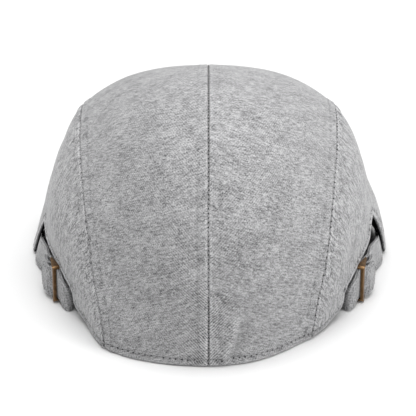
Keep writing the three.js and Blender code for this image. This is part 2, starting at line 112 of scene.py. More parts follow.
class CapSizes(bpy.types.PropertyGroup):
    """Sizes of the cloth's relief, the stitches and the buckles"""
    grid: bpy.props.FloatProperty(
        name="Grid", description="Spacing of the crown's mesh", default=1.15 * MM, unit="LENGTH")
    seam_depth: bpy.props.FloatProperty(
        name="Seam depth", description="How far the cloth dips beside a seam", unit="LENGTH",
        default=0.26 * MM)
    pucker: bpy.props.FloatProperty(
        name="Pucker", description="Height of the small waves beside the seams", unit="LENGTH",
        default=0.26 * MM)
    slack: bpy.props.FloatProperty(
        name="Slack", description="Height of the soft waves of the crown", unit="LENGTH",
        default=0.75 * MM)
    hem_line: bpy.props.FloatProperty(
        name="Hem line", description="Height of the hem's stitching above the edge", unit="LENGTH",
        default=4.0 * MM)
    stitch: bpy.props.FloatProperty(
        name="Stitch", description="Length of a stitch of the hem with its gap", unit="LENGTH",
        default=3.1 * MM)
    seam_stitch: bpy.props.FloatProperty(
        name="Seam stitch", description="Length of a stitch of the seams with its gap", unit="LENGTH",
        default=2.3 * MM)
    thread: bpy.props.FloatProperty(
        name="Thread", description="Thickness of the thread", default=0.42 * MM, unit="LENGTH")
    buckle_edge: bpy.props.FloatProperty(
        name="Buckle edge", description="Rounding of the buckle's edges", default=0.3 * MM, unit="LENGTH")


class CapColours(bpy.types.PropertyGroup):
    """Colours of the cloth, the thread and the buckles"""
    light_fibre: bpy.props.FloatVectorProperty(
        name="Light fibre", description="Lighter fibres of the heather", size=3, subtype="COLOR",
        min=0, max=1, default=(0.455, 0.455, 0.46))
    dark_fibre: bpy.props.FloatVectorProperty(
        name="Dark fibre", description="Darker fibres of the heather", size=3, subtype="COLOR",
        min=0, max=1, default=(0.075, 0.075, 0.078))
    inside: bpy.props.FloatVectorProperty(
        name="Inside", description="Inner face of the crown", size=3, subtype="COLOR",
        min=0, max=1, default=(0.012, 0.012, 0.014))
    thread: bpy.props.FloatVectorProperty(
        name="Thread", description="Sewing thread", size=3, subtype="COLOR",
        min=0, max=1, default=(0.33, 0.33, 0.335))
    brass: bpy.props.FloatVectorProperty(
        name="Brass", description="Bare brass of the buckles", size=3, subtype="COLOR",
        min=0, max=1, default=(0.46, 0.28, 0.135))
    patina: bpy.props.FloatVectorProperty(
        name="Patina", description="Darkened brass of the buckles", size=3, subtype="COLOR",
        min=0, max=1, default=(0.095, 0.052, 0.024))


# The crown's surface

def column(name, at):
    """One column of the table of sections, read through a smooth curve."""
    x = CROWN[:, 0]
    y = CROWN[:, COLUMNS.index(name)]
    last = len(x) - 1
    j = np.arange(last + 1)
    low = np.maximum(j - 1, 0)
    high = np.minimum(j + 1, last)
    slope = (y[high] - y[low]) / (x[high] - x[low])
    i = np.clip(np.searchsorted(x, at, side="right") - 1, 0, last - 1)
    step = x[i + 1] - x[i]
    u = (at - x[i]) / step
    u2, u3 = u * u, u * u * u
    return (y[i] * (2 * u3 - 3 * u2 + 1) + slope[i] * step * (u3 - 2 * u2 + u)
            + y[i + 1] * (3 * u2 - 2 * u3) + slope[i + 1] * step * (u3 - u2))


def unit(v):
    """Directions of length 1."""
    return v / np.maximum(np.linalg.norm(v, axis=-1, keepdims=True), 1e-9)


def crown_rows(at):
    """Ridge, seam and hem points of the right half, and the two directions of the cloth."""
    def triple(name, sx, sy, sz):
        return np.stack([column(name + "_x", at) * sx, column(name + "_y", at) * sy,
                         column(name + "_z", at) * sz], -1)
    ridge = np.stack([np.zeros_like(at), column("ridge_y", at) * REACH, column("ridge_z", at) * HEIGHT], -1)
    return (ridge, triple("seam", HALF, REACH, HEIGHT), triple("hem", HALF, REACH, HEIGHT),
            unit(triple("turn", 1, 1, 1)), unit(triple("rise", 1, 1, 1)))


def bezier(p, q, r, s, t):
    """Points of a curve from p to s, which q and r pull."""
    t = t[..., None]
    u = 1 - t
    return u * u * u * p + 3 * u * u * t * q + 3 * u * t * t * r + t * t * t * s


def crown_point(at, across):
    """Outside of the right half: across runs from 0 at the hem by 1 at the side seam to 2 at the centre."""
    at, across = np.broadcast_arrays(np.asarray(at, float), np.asarray(across, float))
    ridge, seam, hem, turn, rise = crown_rows(at)
    span = np.linalg.norm(seam - ridge, axis=-1, keepdims=True)
    inward = ridge + span * np.array([RIDGE_PULL, 0, 0])
    top = bezier(seam, seam + turn * SEAM_UP * span, inward, ridge, across - 1)
    span = np.linalg.norm(hem - seam, axis=-1, keepdims=True)
    side = bezier(hem, hem + rise * HEM_UP * span, seam - turn * SEAM_DOWN * span, seam, across)
    return np.where(across[..., None] > 1, top, side)


def crown_normal(at, across):
    """Outward direction of the crown, from its neighbouring points."""
    d = 0.004
    across = np.asarray(across, float)
    low = np.where(across > 1, 1.0, 0.0)
    along = crown_point(np.minimum(1, at + d), across) - crown_point(np.maximum(0, at - d), across)
    over = crown_point(at, np.minimum(low + 1, across + d)) - crown_point(at, np.maximum(low, across - d))
    return unit(np.cross(along, over))


def peak_height(x, y):
    """Height of the peak's upper face, which arches from side to side and dips in front."""
    side = x / (PEAK["front_spread"] * HALF)
    front = (y - PEAK["rear"] * REACH) / ((PEAK["front"] - PEAK["rear"]) * REACH)
    drop = PEAK["side_drop"] * side * side + PEAK["front_drop"] * np.maximum(0, front) ** 2
    return HEIGHT * (PEAK["crest"] - drop)


# Small helpers for shapes

def smooth(low, high, value):
    """0 up to low, 1 from high, and a soft step between them."""
    t = np.clip((value - low) / (high - low), 0, 1)
    return t * t * (3 - 2 * t)


def bump(distance, width):
    """1 at no distance, fading to 0 over about twice this width."""
    return np.exp(-(distance / width) ** 2)


def waves(p, size, seed, count=7):
    """A soft unevenness between about -1 and 1, from waves of about this size in many directions."""
    draw = np.random.default_rng(seed)
    total = np.zeros(p.shape[:-1])
    for _ in range(count):
        way = unit(draw.normal(size=3)) * 2 * math.pi / (size * draw.uniform(0.7, 1.5))
        total += np.sin(p @ way + draw.uniform(0, 2 * math.pi))
    return total / math.sqrt(count)


def rolled(distance, radius):
    """How far a sheet's face draws in near its edge, so that the edge is round."""
    d = np.clip(distance, 0, radius)
    return radius - np.sqrt(np.maximum(0, radius * radius - (radius - d) ** 2))


def lengths(points, axis):
    """Length along the grid lines that run in the direction of this axis."""
    step = np.linalg.norm(np.diff(points, axis=axis), axis=-1)
    start = np.zeros_like(np.take(step, [0], axis=axis))
    return np.concatenate([start, np.cumsum(step, axis=axis)], axis=axis)


# Distances of a grid's lines from its edge, where they are close together.
EDGE = np.array([0.0, 0.07, 0.2, 0.42, 0.7, 1.05, 1.5, 2.1, 2.9, 3.9])


def spaced(total, step, count=None):
    """Places along a length: close together near both ends, even between."""
    inner = total - 2 * EDGE[-1]
    count = count or max(2, round(inner / step))
    middle = EDGE[-1] + inner * np.arange(1, count) / count
    return np.concatenate([EDGE, middle, total - EDGE[::-1]])


def read_at(distance, run, values):
    """The point or direction at a distance along one line of a grid."""
    return [np.interp(distance, run, values[:, k]) for k in range(3)]


def grid_normals(p):
    """Directions that stand on a grid of points."""
    along = np.gradient(p, axis=0)
    over = np.gradient(p, axis=1)
    return unit(np.cross(along, over))


def make_mesh(name, verts, faces, materials, uv, inner=None):
    """A smooth mesh in metres from millimetre points, with its cloth coordinates in millimetres."""
    mesh = bpy.data.meshes.new(name)
    mesh.from_pydata([tuple(v) for v in np.asarray(verts) * MM], [], faces)
    for material in materials:
        mesh.materials.append(material)
    layer = mesh.uv_layers.new(name="cloth")
    loops = np.zeros(len(mesh.loops), np.int32)
    mesh.loops.foreach_get("vertex_index", loops)
    layer.data.foreach_set("uv", np.asarray(uv, np.float32)[loops].ravel())
    if inner is not None:
        mesh.polygons.foreach_set("material_index", np.asarray(inner, np.int32))
    mesh.polygons.foreach_set("use_smooth", np.ones(len(mesh.polygons), bool))
    mesh.validate()
    mesh.update()
    thing = bpy.data.objects.new(name, mesh)
    bpy.context.scene.collection.objects.link(thing)
    return thing


def shell_mesh(name, outer, inner, materials, uv, flip=False, marks=None):
    """A closed body from an outer and an inner sheet that share their edges, with marks on its cloth."""
    rows, cols = outer.shape[:2]
    o = np.arange(rows * cols).reshape(rows, cols)
    b = o + rows * cols
    border = np.zeros((rows, cols), bool)
    border[0, :] = border[-1, :] = border[:, 0] = border[:, -1] = True
    b[border] = o[border]
    quads = np.stack([o[:-1, :-1], o[1:, :-1], o[1:, 1:], o[:-1, 1:]], -1).reshape(-1, 4)
    backs = np.stack([b[:-1, :-1], b[:-1, 1:], b[1:, 1:], b[1:, :-1]], -1).reshape(-1, 4)
    faces = np.concatenate([quads, backs])
    if flip:
        faces = faces[:, ::-1]
    verts = np.concatenate([outer.reshape(-1, 3), inner.reshape(-1, 3)])
    used = np.unique(faces)
    order = np.full(len(verts), -1)
    order[used] = np.arange(len(used))
    dark = np.concatenate([np.zeros(len(quads), int), np.ones(len(backs), int)])
    both = np.concatenate([uv.reshape(-1, 2), uv.reshape(-1, 2)])[used]
    thing = make_mesh(name, verts[used], order[faces].tolist(), materials, both, dark)
    for label, values in (marks or {}).items():
        store = thing.data.attributes.new(label, "FLOAT", "POINT")
        store.data.foreach_set("value", np.tile(values.ravel(), 2)[used].astype(np.float32))
    return thing


def plain_copy(thing, name):
    """Turns what the modifiers make into the object's own mesh, and removes the modifiers."""
    plain = bpy.data.meshes.new_from_object(thing.evaluated_get(bpy.context.evaluated_depsgraph_get()))
    thing.modifiers.clear()
    thing.data = plain
    plain.name = name


def finish_piece(thing, *nodes, slot="cloth"):
    """Attaches a piece to the root body and hides the solids that it stands for."""
    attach(thing, "root")
    if nodes:
        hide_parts(*nodes)


# Small helpers for node trees

class Wiring:
    """Short ways to place and join the nodes of one tree."""

    def __init__(self, tree):
        self.tree = tree

    def put(self, kind, **values):
        node = self.tree.nodes.new(kind)
        for name, value in values.items():
            setattr(node, name, value)
        return node

    def feed(self, socket, value):
        if isinstance(value, bpy.types.NodeSocket):
            self.tree.links.new(value, socket)
        elif value is not None:
            socket.default_value = value

    def make(self, kind, output, inputs=(), **values):
        """One output of a new node, whose inputs are fed by name or number."""
        node = self.put(kind, **values)
        for socket, value in dict(inputs).items():
            self.feed(node.inputs[socket], value)
        return node.outputs[output]

    def math(self, operation, a, b=None, c=None):
        return self.make("ShaderNodeMath", "Value", {0: a, 1: b, 2: c}, operation=operation)

    def scale(self, vector, factors):
        return self.make("ShaderNodeVectorMath", "Vector", {0: vector, 1: factors}, operation="MULTIPLY")

    def tint(self, colour, factor):
        return self.make("ShaderNodeVectorMath", "Vector", {0: colour, "Scale": factor}, operation="SCALE")

    def noise(self, vector, scale, detail=2.0, rough=0.5, distortion=0.0):
        return self.make("ShaderNodeTexNoise", "Fac", {
            "Vector": vector, "Scale": scale, "Detail": detail, "Roughness": rough, "Distortion": distortion})

    def spread(self, value, low, high, to_low=0.0, to_high=1.0):
        return self.make("ShaderNodeMapRange", "Result", enumerate((value, low, high, to_low, to_high)))

    def mix(self, share, a, b):
        return self.make("ShaderNodeMix", "Result", {"Factor": share, "A": a, "B": b}, data_type="RGBA")

    def relief(self, height, strength, distance):
        """A bump for a surface's Normal; distance is in millimetres."""
        return self.make("ShaderNodeBump", "Normal", {
            "Height": height, "Strength": strength, "Distance": distance * MM})


# Crown panels

LINES = {}                      # what the stitches follow, by piece

# The notch's edge is steep at two stretches of the crown, so rows are close together there: from, to, rows.
NOTCH_ROWS = ((0.2500, 0.2680, 34), (0.5000, 0.6600, 90))
SIDE_REACH = (0.006, 0.994)     # where the side panels begin and end along the crown
OVER_PEAK = 0.97                # where the crown's front edge lies over the peak

CREST = (88, 112)               # heights between which the crest begins
FOLD_FOOT = (7.5, -124.0, 3.0)  # the fold right of the centre seam runs from here
FOLD_HEAD = (14.0, -126.0, 27.0)    # up to here
LEFT_CORNER_BACK = 11.0         # how far the left side seam's foot stands behind the right one
SWELL_HEIGHT = 20.0             # where the sides stand out most
PEAK_CLEAR = 0.25               # how far the crown stays above the peak
FLOOR_CLEAR = 0.05              # and the cloth above the floor

# Strength of the painted shade in the dip of the side seam and of the centre seam.
SIDE_SEAM_SHADE, CENTRE_SEAM_SHADE = 0.2, 0.4
PRESSED_WIDTH = 10.0            # the seam's pressed cloth: how wide, and the heights where it ends
PRESSED_UP_TO = (35, 85)
LEFT_CLOTH_SHIFT = 173.0        # so that the weave differs between the sides
TOP_SEED, SIDE_SEED, LEFT_SEED = 11, 31, 5

# In the functions that follow, a form is its height, or its share of painted shade (below 0 a painted
# highlight), times a bump:
# bump(distance - place, width) stands at this place with this width. waves(points, size, seed, count) adds
# unevenness.


def panel_rows(stations, low, high, step):
    """Points of a panel, row by row, at even distances across it, and those distances."""
    share = np.linspace(0, 1, 90)
    rough = [crown_point(at, lo + (hi - lo) * share) for at, lo, hi in zip(stations, low, high)]
    total = [lengths(r, 0)[-1] for r in rough]
    count = max(4, round((max(total) - 2 * EDGE[-1]) / step))
    across, distance = [], []
    for lo, hi, row, length in zip(low, high, rough, total):
        place = spaced(length, step, count)
        t = np.interp(place, lengths(row, 0), share)
        across.append(lo + (hi - lo) * t)
        distance.append(place)
    across = np.array(across)
    return crown_point(stations[:, None], across), across, np.array(distance)


def stations_of(across, step, first, last, extra=()):
    """Places along the crown at even distances, close together at its ends and near the extra ones."""
    fine = np.linspace(first, last, 800)
    run = lengths(crown_point(fine, across), 0)
    place = spaced(run[-1], step)
    return np.unique(np.concatenate([np.interp(place, run, fine), np.asarray(extra, float)]))


def seam_relief(distance, along, sizes, seed, side):
    """The cloth beside a seam: a dip, the pressed-open allowance under it, and small puckers."""
    depth = sizes.seam_depth / MM
    puck = sizes.pucker / MM
    dip = -depth * bump(distance, 0.55) + 0.5 * depth * bump(distance - 1.4, 0.8)
    under = 0.30 * (1 - smooth(SEAM_ALLOWANCE - 0.35, SEAM_ALLOWANCE + 0.45, distance))
    under -= 0.12 * bump(distance - SEAM_ALLOWANCE - 0.5, 0.6)
    line = np.stack([along, np.zeros_like(along), np.zeros_like(along)], -1)
    slant = np.stack([along + side * 0.8 * distance, 0.35 * distance, np.zeros_like(along)], -1)
    ripple = waves(slant, 4.2, seed, 5) * bump(distance - 1.5, 5.5)
    return dip + under + puck * ripple + 0.12 * waves(line, 9.0, seed + 1, 4) * bump(distance, 3.0)


def hem_relief(distance, along, sizes, seed):
    """The hem: a line pressed in by its stitching, a soft roll below it and small puckers."""
    line = sizes.hem_line / MM
    groove = -0.42 * bump(distance - line, 0.6) + 0.16 * bump(distance - line - 1.4, 0.9)
    roll = 0.40 * smooth(0.3, 1.4, distance) * (1 - smooth(line - 1.3, line - 0.2, distance))
    waver = waves(np.stack([along, 0 * along, 0 * along], -1), 7.0, seed, 5)
    return groove + roll + 0.20 * waver * bump(distance - line, 3.0)


def fold_frame(p):
    """Where a point lies beside the fold right of the centre seam, and how strong the fold is there."""
    foot = np.array(FOLD_FOOT)
    way = np.array(FOLD_HEAD) - foot
    t = np.clip(((p - foot) @ way) / (way @ way), -0.2, 1.5)
    off = p - (foot + t[..., None] * way)
    strength = smooth(-0.15, 0.2, t) * (1 - smooth(0.7, 1.4, t)) * bump(np.linalg.norm(off, axis=-1), 14.0)
    return off[..., 0], strength


def crown_slack(p, sizes):
    """Soft unevenness of the whole crown, and the fold that stands right of the centre seam."""
    slack = sizes.slack / MM
    big = 0.75 * waves(p, 62.0, 4, 6) + 0.32 * waves(p, 26.0, 9, 8)
    beside, strength = fold_frame(p)
    fold = 2.0 * bump(beside, 2.6) - 1.5 * bump(beside - 6.0, 3.6)
    crest = smooth(*CREST, p[..., 2])
    return slack * big * smooth(0, 12, p[..., 2]) * (1 - 0.8 * crest) + 1.1 * crest + fold * strength


def back_corner(p):
    """On the left the foot of the side seam stands further back than on the right."""
    off = p - crown_point(0.0, 1.0)
    forward = np.maximum(0, 0.59 * off[..., 0] + 0.81 * off[..., 1])
    inward = np.maximum(0, -0.90 * off[..., 0] - 0.44 * off[..., 1])
    weight = bump(forward, 15.0) * bump(inward, 30.0) * bump(off[..., 2], 38.0)
    return weight[..., None] * np.array([0.0, -LEFT_CORNER_BACK, 0.0])


def side_swell(p, amount):
    """In front of the notch the side stands a little further out, more so on the right."""
    height = bump(p[..., 2] - SWELL_HEIGHT, np.where(p[..., 2] > SWELL_HEIGHT, 28.0, 20.0))
    ahead = smooth(-26.0, 6.0, p[..., 1]) * (1 - smooth(45.0, 85.0, p[..., 1]))
    weight = amount * height * ahead * smooth(55.0, 80.0, p[..., 0])
    return weight[..., None] * np.array([1.0, 0.0, 0.0])


def seam_shade(distance, along, seed, strength):
    """Painted shade in the dip of a seam, a painted highlight on its lips, and a faint painted shadow line
    where the allowance ends under the cloth.
    """
    line = np.stack([along, np.zeros_like(along), np.zeros_like(along)], -1)
    uneven = 0.6 + 0.4 * waves(line, 6.0, seed, 4)
    lips = -0.30 * bump(distance - 1.2, 0.5)
    end = (0.20 + 0.14 * waves(line, 4.0, seed + 7, 4)) * bump(distance - SEAM_ALLOWANCE - 0.3, 0.5)
    return strength * uneven * bump(distance, 0.35) + lips + end


def hem_shade(distance, sizes):
    """Painted shade along the very edge and along the stitching of the hem, and a painted highlight on the
    roll below the stitching.
    """
    line = sizes.hem_line / MM
    return 0.85 * bump(distance, 0.45) - 0.34 * bump(distance - 1.3, 0.6) + 0.28 * bump(distance - line, 0.5)


def panel_stations(top, side, step):
    """Where a panel has its rows along the crown, and where each row starts and ends across it."""
    if top:
        stations = stations_of(1.5, step, 0.0, 1.0)
        return stations, np.full(len(stations), 1.0), np.full(len(stations), 2.0)
    extra = [at for first, last, count in NOTCH_ROWS for at in np.linspace(first, last, count)]
    stations = stations_of(0.6, step, *SIDE_REACH, extra)
    low = np.interp(stations, NOTCH[:, 0], NOTCH[:, 1])
    if side < 0:
        low = low * (1 - LEFT_NOTCH_LOWER * smooth(*LEFT_NOTCH_FROM, stations))
    return stations, low, np.full(len(stations), 1.0)


def distance_to_line(points, line):
    """How far each point of a grid lies from the nearest point of a line."""
    border = kdtree.KDTree(len(line))
    for i, p in enumerate(line):
        border.insert(Vector(p), i)
    border.balance()
    found = [border.find(Vector(p))[2] for p in points.reshape(-1, 3)]
    return np.array(found).reshape(points.shape[:2])


def dress_top(place, along, distance, sizes, seed):
    """Relief, painted shade and highlight, and pressing of a top panel, and how far each point lies from its
    seams.
    """
    to_side, to_centre = distance, distance[:, -1:] - distance
    flatter = 1 - 0.5 * smooth(*CREST, place[..., 2])
    relief = crown_slack(place, sizes)
    relief += seam_relief(to_side, along, sizes, seed, -1)
    relief += seam_relief(to_centre, along, sizes, seed + 2, 1) * flatter
    relief += hem_relief(along, distance, sizes, seed + 3)
    # Painted shade: the seams' dips and lips, and a dark line just beside the side seam.
    shade = seam_shade(to_side, along, seed, SIDE_SEAM_SHADE) + 0.45 * bump(to_side - 0.9, 0.45)
    shade += seam_shade(to_centre, along, seed + 2, CENTRE_SEAM_SHADE) * flatter
    shade += hem_shade(along, sizes)
    # Painted highlight on the fold right of the centre seam, and painted shade in the dip beside it.
    beside, strength = fold_frame(place)
    shade += strength * (0.26 * bump(beside - 4.6, 2.4) - 0.20 * bump(beside, 2.0))
    pressed = bump(to_centre, PRESSED_WIDTH) * (1 - smooth(*PRESSED_UP_TO, place[..., 2]))
    return relief, shade, pressed, SEAM_SHARP * np.minimum(to_side, to_centre)


def dress_side(place, along, distance, sizes, seed):
    """Relief, painted shade and highlight, and pressing of a side panel, and how far each point lies from its
    seam and low edge.
    """
    to_seam = distance[:, -1:] - distance
    to_low = distance_to_line(place, place[:, 0])
    to_low[:, 0] = 0
    relief = crown_slack(place, sizes)
    relief += seam_relief(to_seam, along, sizes, seed, 1)
    relief += hem_relief(to_low, along, sizes, seed + 3)
    shade = seam_shade(to_seam, along, seed, SIDE_SEAM_SHADE) + hem_shade(to_low, sizes)
    return relief, shade, np.zeros_like(to_seam), np.minimum(SEAM_SHARP * to_seam, to_low)


def keep_clear(sheet, front):
    """Keeps a sheet on its side of the centre seam, above the peak at its front, and above the floor."""
    sheet[..., 0] = np.maximum(sheet[..., 0], SEAM_GAP / 2)
    seat = peak_height(sheet[front][..., 0], sheet[front][..., 1]) + PEAK_CLEAR
    sheet[front, :, 2] = np.maximum(sheet[front][..., 2], seat)
    sheet[..., 2] = np.maximum(sheet[..., 2], FLOOR_CLEAR)


def build_panel(name, side, sizes, materials):
    """One crown panel. side is 1 for the wearer's right and -1 for the left."""
    top = name.startswith("top")
    seed = (TOP_SEED if top else SIDE_SEED) + (0 if side > 0 else LEFT_SEED)
    step = sizes.grid / MM
    stations, low, high = panel_stations(top, side, step)
    base, across, distance = panel_rows(stations, low, high, step)
    along = lengths(base, 0)
    normal = crown_normal(stations[:, None], across)

    mirror = np.array([side, 1.0, 1.0])
    if side < 0:
        base = base + back_corner(base)
    base = base + side_swell(base, SIDE_SWELL[side])
    dress = dress_top if top else dress_side
    relief, shade, pressed, edge = dress(base * mirror, along, distance, sizes, seed)
    edge = np.minimum(edge, np.minimum(along, along[-1:] - along))
    still = smooth(0.0, 2.0, edge)
    ease = relief * still - sizes.seam_depth / MM * (1 - still) * 0.2
    draw = rolled(edge, CLOTH / 2)
    outer = base + normal * (ease - draw)[..., None]
    inner = base - normal * (CLOTH - draw - relief * still * 0.8)[..., None]
    for sheet in (outer, inner):
        keep_clear(sheet, stations > OVER_PEAK)
    from_seam = distance if top else distance[:, -1:] - distance
    uv = np.stack([along, from_seam], -1) + (0.0 if side > 0 else LEFT_CLOTH_SHIFT)
    # shade is the painted shade and highlight, by which the cloth's material darkens or lightens its colour.
    marks = {"shade": shade, "pressed": pressed}
    thing = shell_mesh(name, outer * mirror, inner * mirror, materials, uv, side < 0, marks)
    LINES[name] = {"outer": outer * mirror, "normal": grid_normals(outer) * mirror,
                   "distance": distance, "along": along, "stations": stations}
    return thing


class CAP_OT_crown(bpy.types.Operator):
    """Makes the four panels of the crown, with their seams, hem and soft unevenness"""
    bl_idname = "cap.crown"
    bl_label = "Crown panels"

    def execute(self, context):
        sizes = context.scene.cap_sizes
        stuff = bpy.data.materials
        for side, word in ((1, "right"), (-1, "left")):
            materials = [stuff["heather_cloth"], stuff["crown_inside"]]
            thing = build_panel(f"top_panel_{word}_cloth", side, sizes, materials)
            finish_piece(thing, f"top_panel_{word}")
            materials = [stuff["heather_side"], stuff["crown_inside"]]
            thing = build_panel(f"side_panel_{word}_cloth", side, sizes, materials)
            finish_piece(thing, f"side_panel_{word}")
        return {"FINISHED"}


# Peak

PEAK_BOARD = 3.2                # thickness
PEAK_SPREAD = 0.47 * math.pi    # how far round the front the peak reaches to each side
PEAK_ACROSS, PEAK_AHEAD = 230, 54   # about as long as its mesh is across and ahead
PEAK_STITCH = 5.5               # distance of its stitching from the front edge
PEAK_ROLL = 2.8                 # distance of the soft roll beyond it
PEAK_STITCH_COLUMN = -9         # the column of its mesh that lies nearest to the stitching


class CAP_OT_peak(bpy.types.Operator):
    """Makes the stiffened peak: cloth over a board, with a rounded edge and a line of stitching"""
    bl_idname = "cap.peak"
    bl_label = "Peak"

    def execute(self, context):
        step = context.scene.cap_sizes.grid / MM
        count = round(PEAK_ACROSS / step)
        rows = round(PEAK_AHEAD / step)
        turn = PEAK_SPREAD * np.linspace(-1, 1, count + 1)[:, None]
        share = np.concatenate([np.linspace(0, 0.04, 7)[:-1], np.linspace(0.04, 0.96, rows),
                                np.linspace(0.96, 1, 9)[1:]])[None, :]
        across, ahead = np.sin(turn), np.cos(turn)
        rear_y = REACH * (PEAK["tips"] + (PEAK["rear"] - PEAK["tips"]) * ahead ** 1.2)
        front_y = REACH * (PEAK["tips"] + (PEAK["front"] - PEAK["tips"]) * ahead ** 0.8)
        spread = PEAK["rear_spread"] + (PEAK["front_spread"] - PEAK["rear_spread"]) * share * ahead ** 0.5
        x = HALF * across * spread
        y = rear_y + (front_y - rear_y) * share
        base = np.stack([x, y, peak_height(x, y)], -1)
        run, side_run = lengths(base, 1), lengths(base, 0)
        to_front, to_side = run[:, -1:] - run, np.minimum(side_run, side_run[-1:] - side_run)
        edge = np.minimum(np.minimum(run, to_front), to_side)
        normal = grid_normals(base)
        normal *= np.sign(normal[..., 2:3])
        groove = -0.28 * bump(to_front - PEAK_STITCH, 0.6) + 0.10 * bump(to_front - PEAK_ROLL, 1.6)
        groove = groove * smooth(3, 9, to_side)
        draw = rolled(edge, PEAK_BOARD / 2)
        outer = base + normal * (groove - draw)[..., None]
        inner = base - normal * (PEAK_BOARD - draw)[..., None]
        inner[..., 2] = np.maximum(inner[..., 2], FLOOR_CLEAR)
        outer[..., 2] = np.maximum(outer[..., 2], inner[..., 2])
        uv = np.stack([side_run, run], -1)
        cloth = bpy.data.materials["heather_cloth"]
        thing = shell_mesh("peak_cover", outer, inner, [cloth, cloth], uv, flip=True)
        finish_piece(thing, "peak")
        points = np.array([read_at(PEAK_STITCH, d[::-1], p[::-1]) for p, d in zip(outer, to_front)])
        clear = points[:, 2] > LOWEST_STITCH
        LINES["peak"] = (points[clear], normal[clear, PEAK_STITCH_COLUMN])
        return {"FINISHED"}


# Straps and tabs

# The strap and the tab, and the room that the strap takes where it turns out of the notch.
STRAP_WIDTH = 17.2
STRAP_CLOTH = 1.6
STRAP_ROOM = 10.0
TAB_LENGTH = 15.5
TAIL_LENGTH = 8.6
TAIL_ROUND = 5.6
TAIL_SAG = 0.5

# The buckle, and how strap and tab lie in it. Depths are measured outwards from the middle of the strap.
BUCKLE_LENGTH = 13.0
BUCKLE_WALL = 1.5
BUCKLE_DEPTH = 4.2
BAR_DEPTH = 1.2
BAR_PLAY = 0.2
STRAP_GAP = 0.3
LAYER = STRAP_CLOTH + STRAP_GAP
NEAR_BAR = STRAP_CLOTH / 2 + STRAP_GAP
BUCKLE_FOOT = NEAR_BAR + 1.2 * BUCKLE_WALL - BUCKLE_DEPTH
UNDER_BAR = BUCKLE_FOOT - LAYER / 2 - BAR_PLAY
OVER_BAR = BUCKLE_FOOT + BAR_DEPTH + LAYER / 2 + BAR_PLAY
TAIL = OVER_BAR + LAYER
SPLAY = math.radians(25)
BUCKLE_MIDDLE = crown_point(0.36, 0.0) + np.array([4.4, 1.0, 3.9])

# Where the strap turns out round the rear edge of the notch: shares of STRAP_ROOM and of STRAP_WIDTH.
TURN_OUT = ((0.35, -0.22, -0.20, 0.52), (0.67, -0.12, -0.22, 0.52), (0.89, 0.03, -0.24, 0.51),
            (0.83, 0.19, -0.26, 0.51), (0.61, 0.30, -0.28, 0.51), (0.53, 0.44, -0.28, 0.53),
            (0.69, 0.59, -0.25, 0.59), (0.96, 0.75, -0.20, 0.67))

# The strap's sewn end: places along the crown, then where its lower and upper edge lie across a side panel.
SEWN_EASE = 0.5
SEWN_END = ((0.170, 0.02, 0.26), (0.205, 0.02, 0.23), (0.236, 0.02, 0.170))

# The strap through the buckle: shares of half the buckle's length, and outwards shares of TAIL. Then its
# round end: how far it falls short of the tip and how much narrower it is, both as shares of TAIL_ROUND.
THROUGH_BUCKLE = ((-1.045, -0.07), (-0.71, -0.05), (-0.42, 0.20), (-0.10, 0.66), (0.22, 0.98),
                  (0.60, 1.00), (1.00, 1.00))
TAIL_END = ((0.48, 0.09), (0.23, 0.25), (0.07, 0.57), (0.00, 1.00))

# The tab over and under the far bar: shares of the way from the bar to its end, layers outwards, and
# shares of its width upwards. Then its sewn end: the place along the crown, where its lower and upper edge
# lie across a side panel, how many gaps further in it lies, and shares of its width downwards.
TAB_OVER = ((0.78, -0.63, 0.010), (0.44, -0.32, 0.005), (0.17, -0.05, 0), (-0.055, 0, 0))
TAB_UNDER = ((-0.055, 0, 0), (0.17, 0, 0), (0.44, 0.10, 0.005), (0.78, 0, 0.010), (1.72, -1.21, 0))
TAB_SEWN = ((0.598, 0, 0.125, -4, 0.165), (0.667, 0.008, 0.118, 1.8, 0), (0.695, 0.010, 0.116, 1.4, 0),
            (0.720, 0.012, 0.116, 1.4, 0))

# The tab's fold round the bar: shares of the way from under it to over it, and layers back from the fold.
TAB_FOLD = ((0.86, 0.25), (0.5, 0), (0.14, 0.25))

PATH_STEPS = 7                  # points of a band's path from each place above to the next
BAND_SEEDS = {"strap": 51, "tab": 61}

# Sections across a band: distances of its lines from each edge, and from its middle. Then the lip round an
# edge: distances past the edge, and shares of half the thickness. Its deep middle parts the two layers.
BAND_STITCH = 1.7
NEAR_EDGE = (1.15, BAND_STITCH - 0.3, BAND_STITCH, BAND_STITCH + 0.3, 2.5, 3.8)
NEAR_MIDDLE = (-2.6, -1.2, 0, 1.2, 2.6)
LIP = ((-0.26, 0.88), (0.0, 0.66), (-0.06, 0.42), (-1.60, 0.0),
       (-0.06, -0.42), (0.0, -0.66), (-0.26, -0.88))
EDGE_ROUND = 0.42               # how far the rounding of an edge reaches, as a share of the thickness
NARROW = 9.0                    # a band narrower than this has its sections drawn together
END_SHARE, END_ROUND = 0.93, 0.22   # a band's ends are a little smaller and stand out a little
BACK_CLOTH_SHIFT = 40           # so that the weave differs between front and back


def beside_buckle(along, outward, up):
    """A point by its place in the buckle, which is turned a little outwards."""
    s, c = math.sin(SPLAY), math.cos(SPLAY)
    return BUCKLE_MIDDLE + np.array([along * s + outward * c, along * c - outward * s, up])


def upright_at_buckle(along, outward, low, high):
    """Lower and upper edge of a band that stands upright in the buckle."""
    return np.concatenate([beside_buckle(along, outward, low), beside_buckle(along, outward, high)])


def against_wall(at, low, high, ease, below=0.0):
    """Lower and upper edge of a band that lies against the inner face of a side panel."""
    depth = CLOTH + STRAP_GAP * (1 + ease) + STRAP_CLOTH / 2
    foot = crown_point(at, low) - crown_normal(at, low) * depth
    head = crown_point(at, high) - crown_normal(at, high) * (depth + 0.5 * STRAP_GAP)
    foot = foot - unit(head - foot) * below
    return np.concatenate([foot, head])


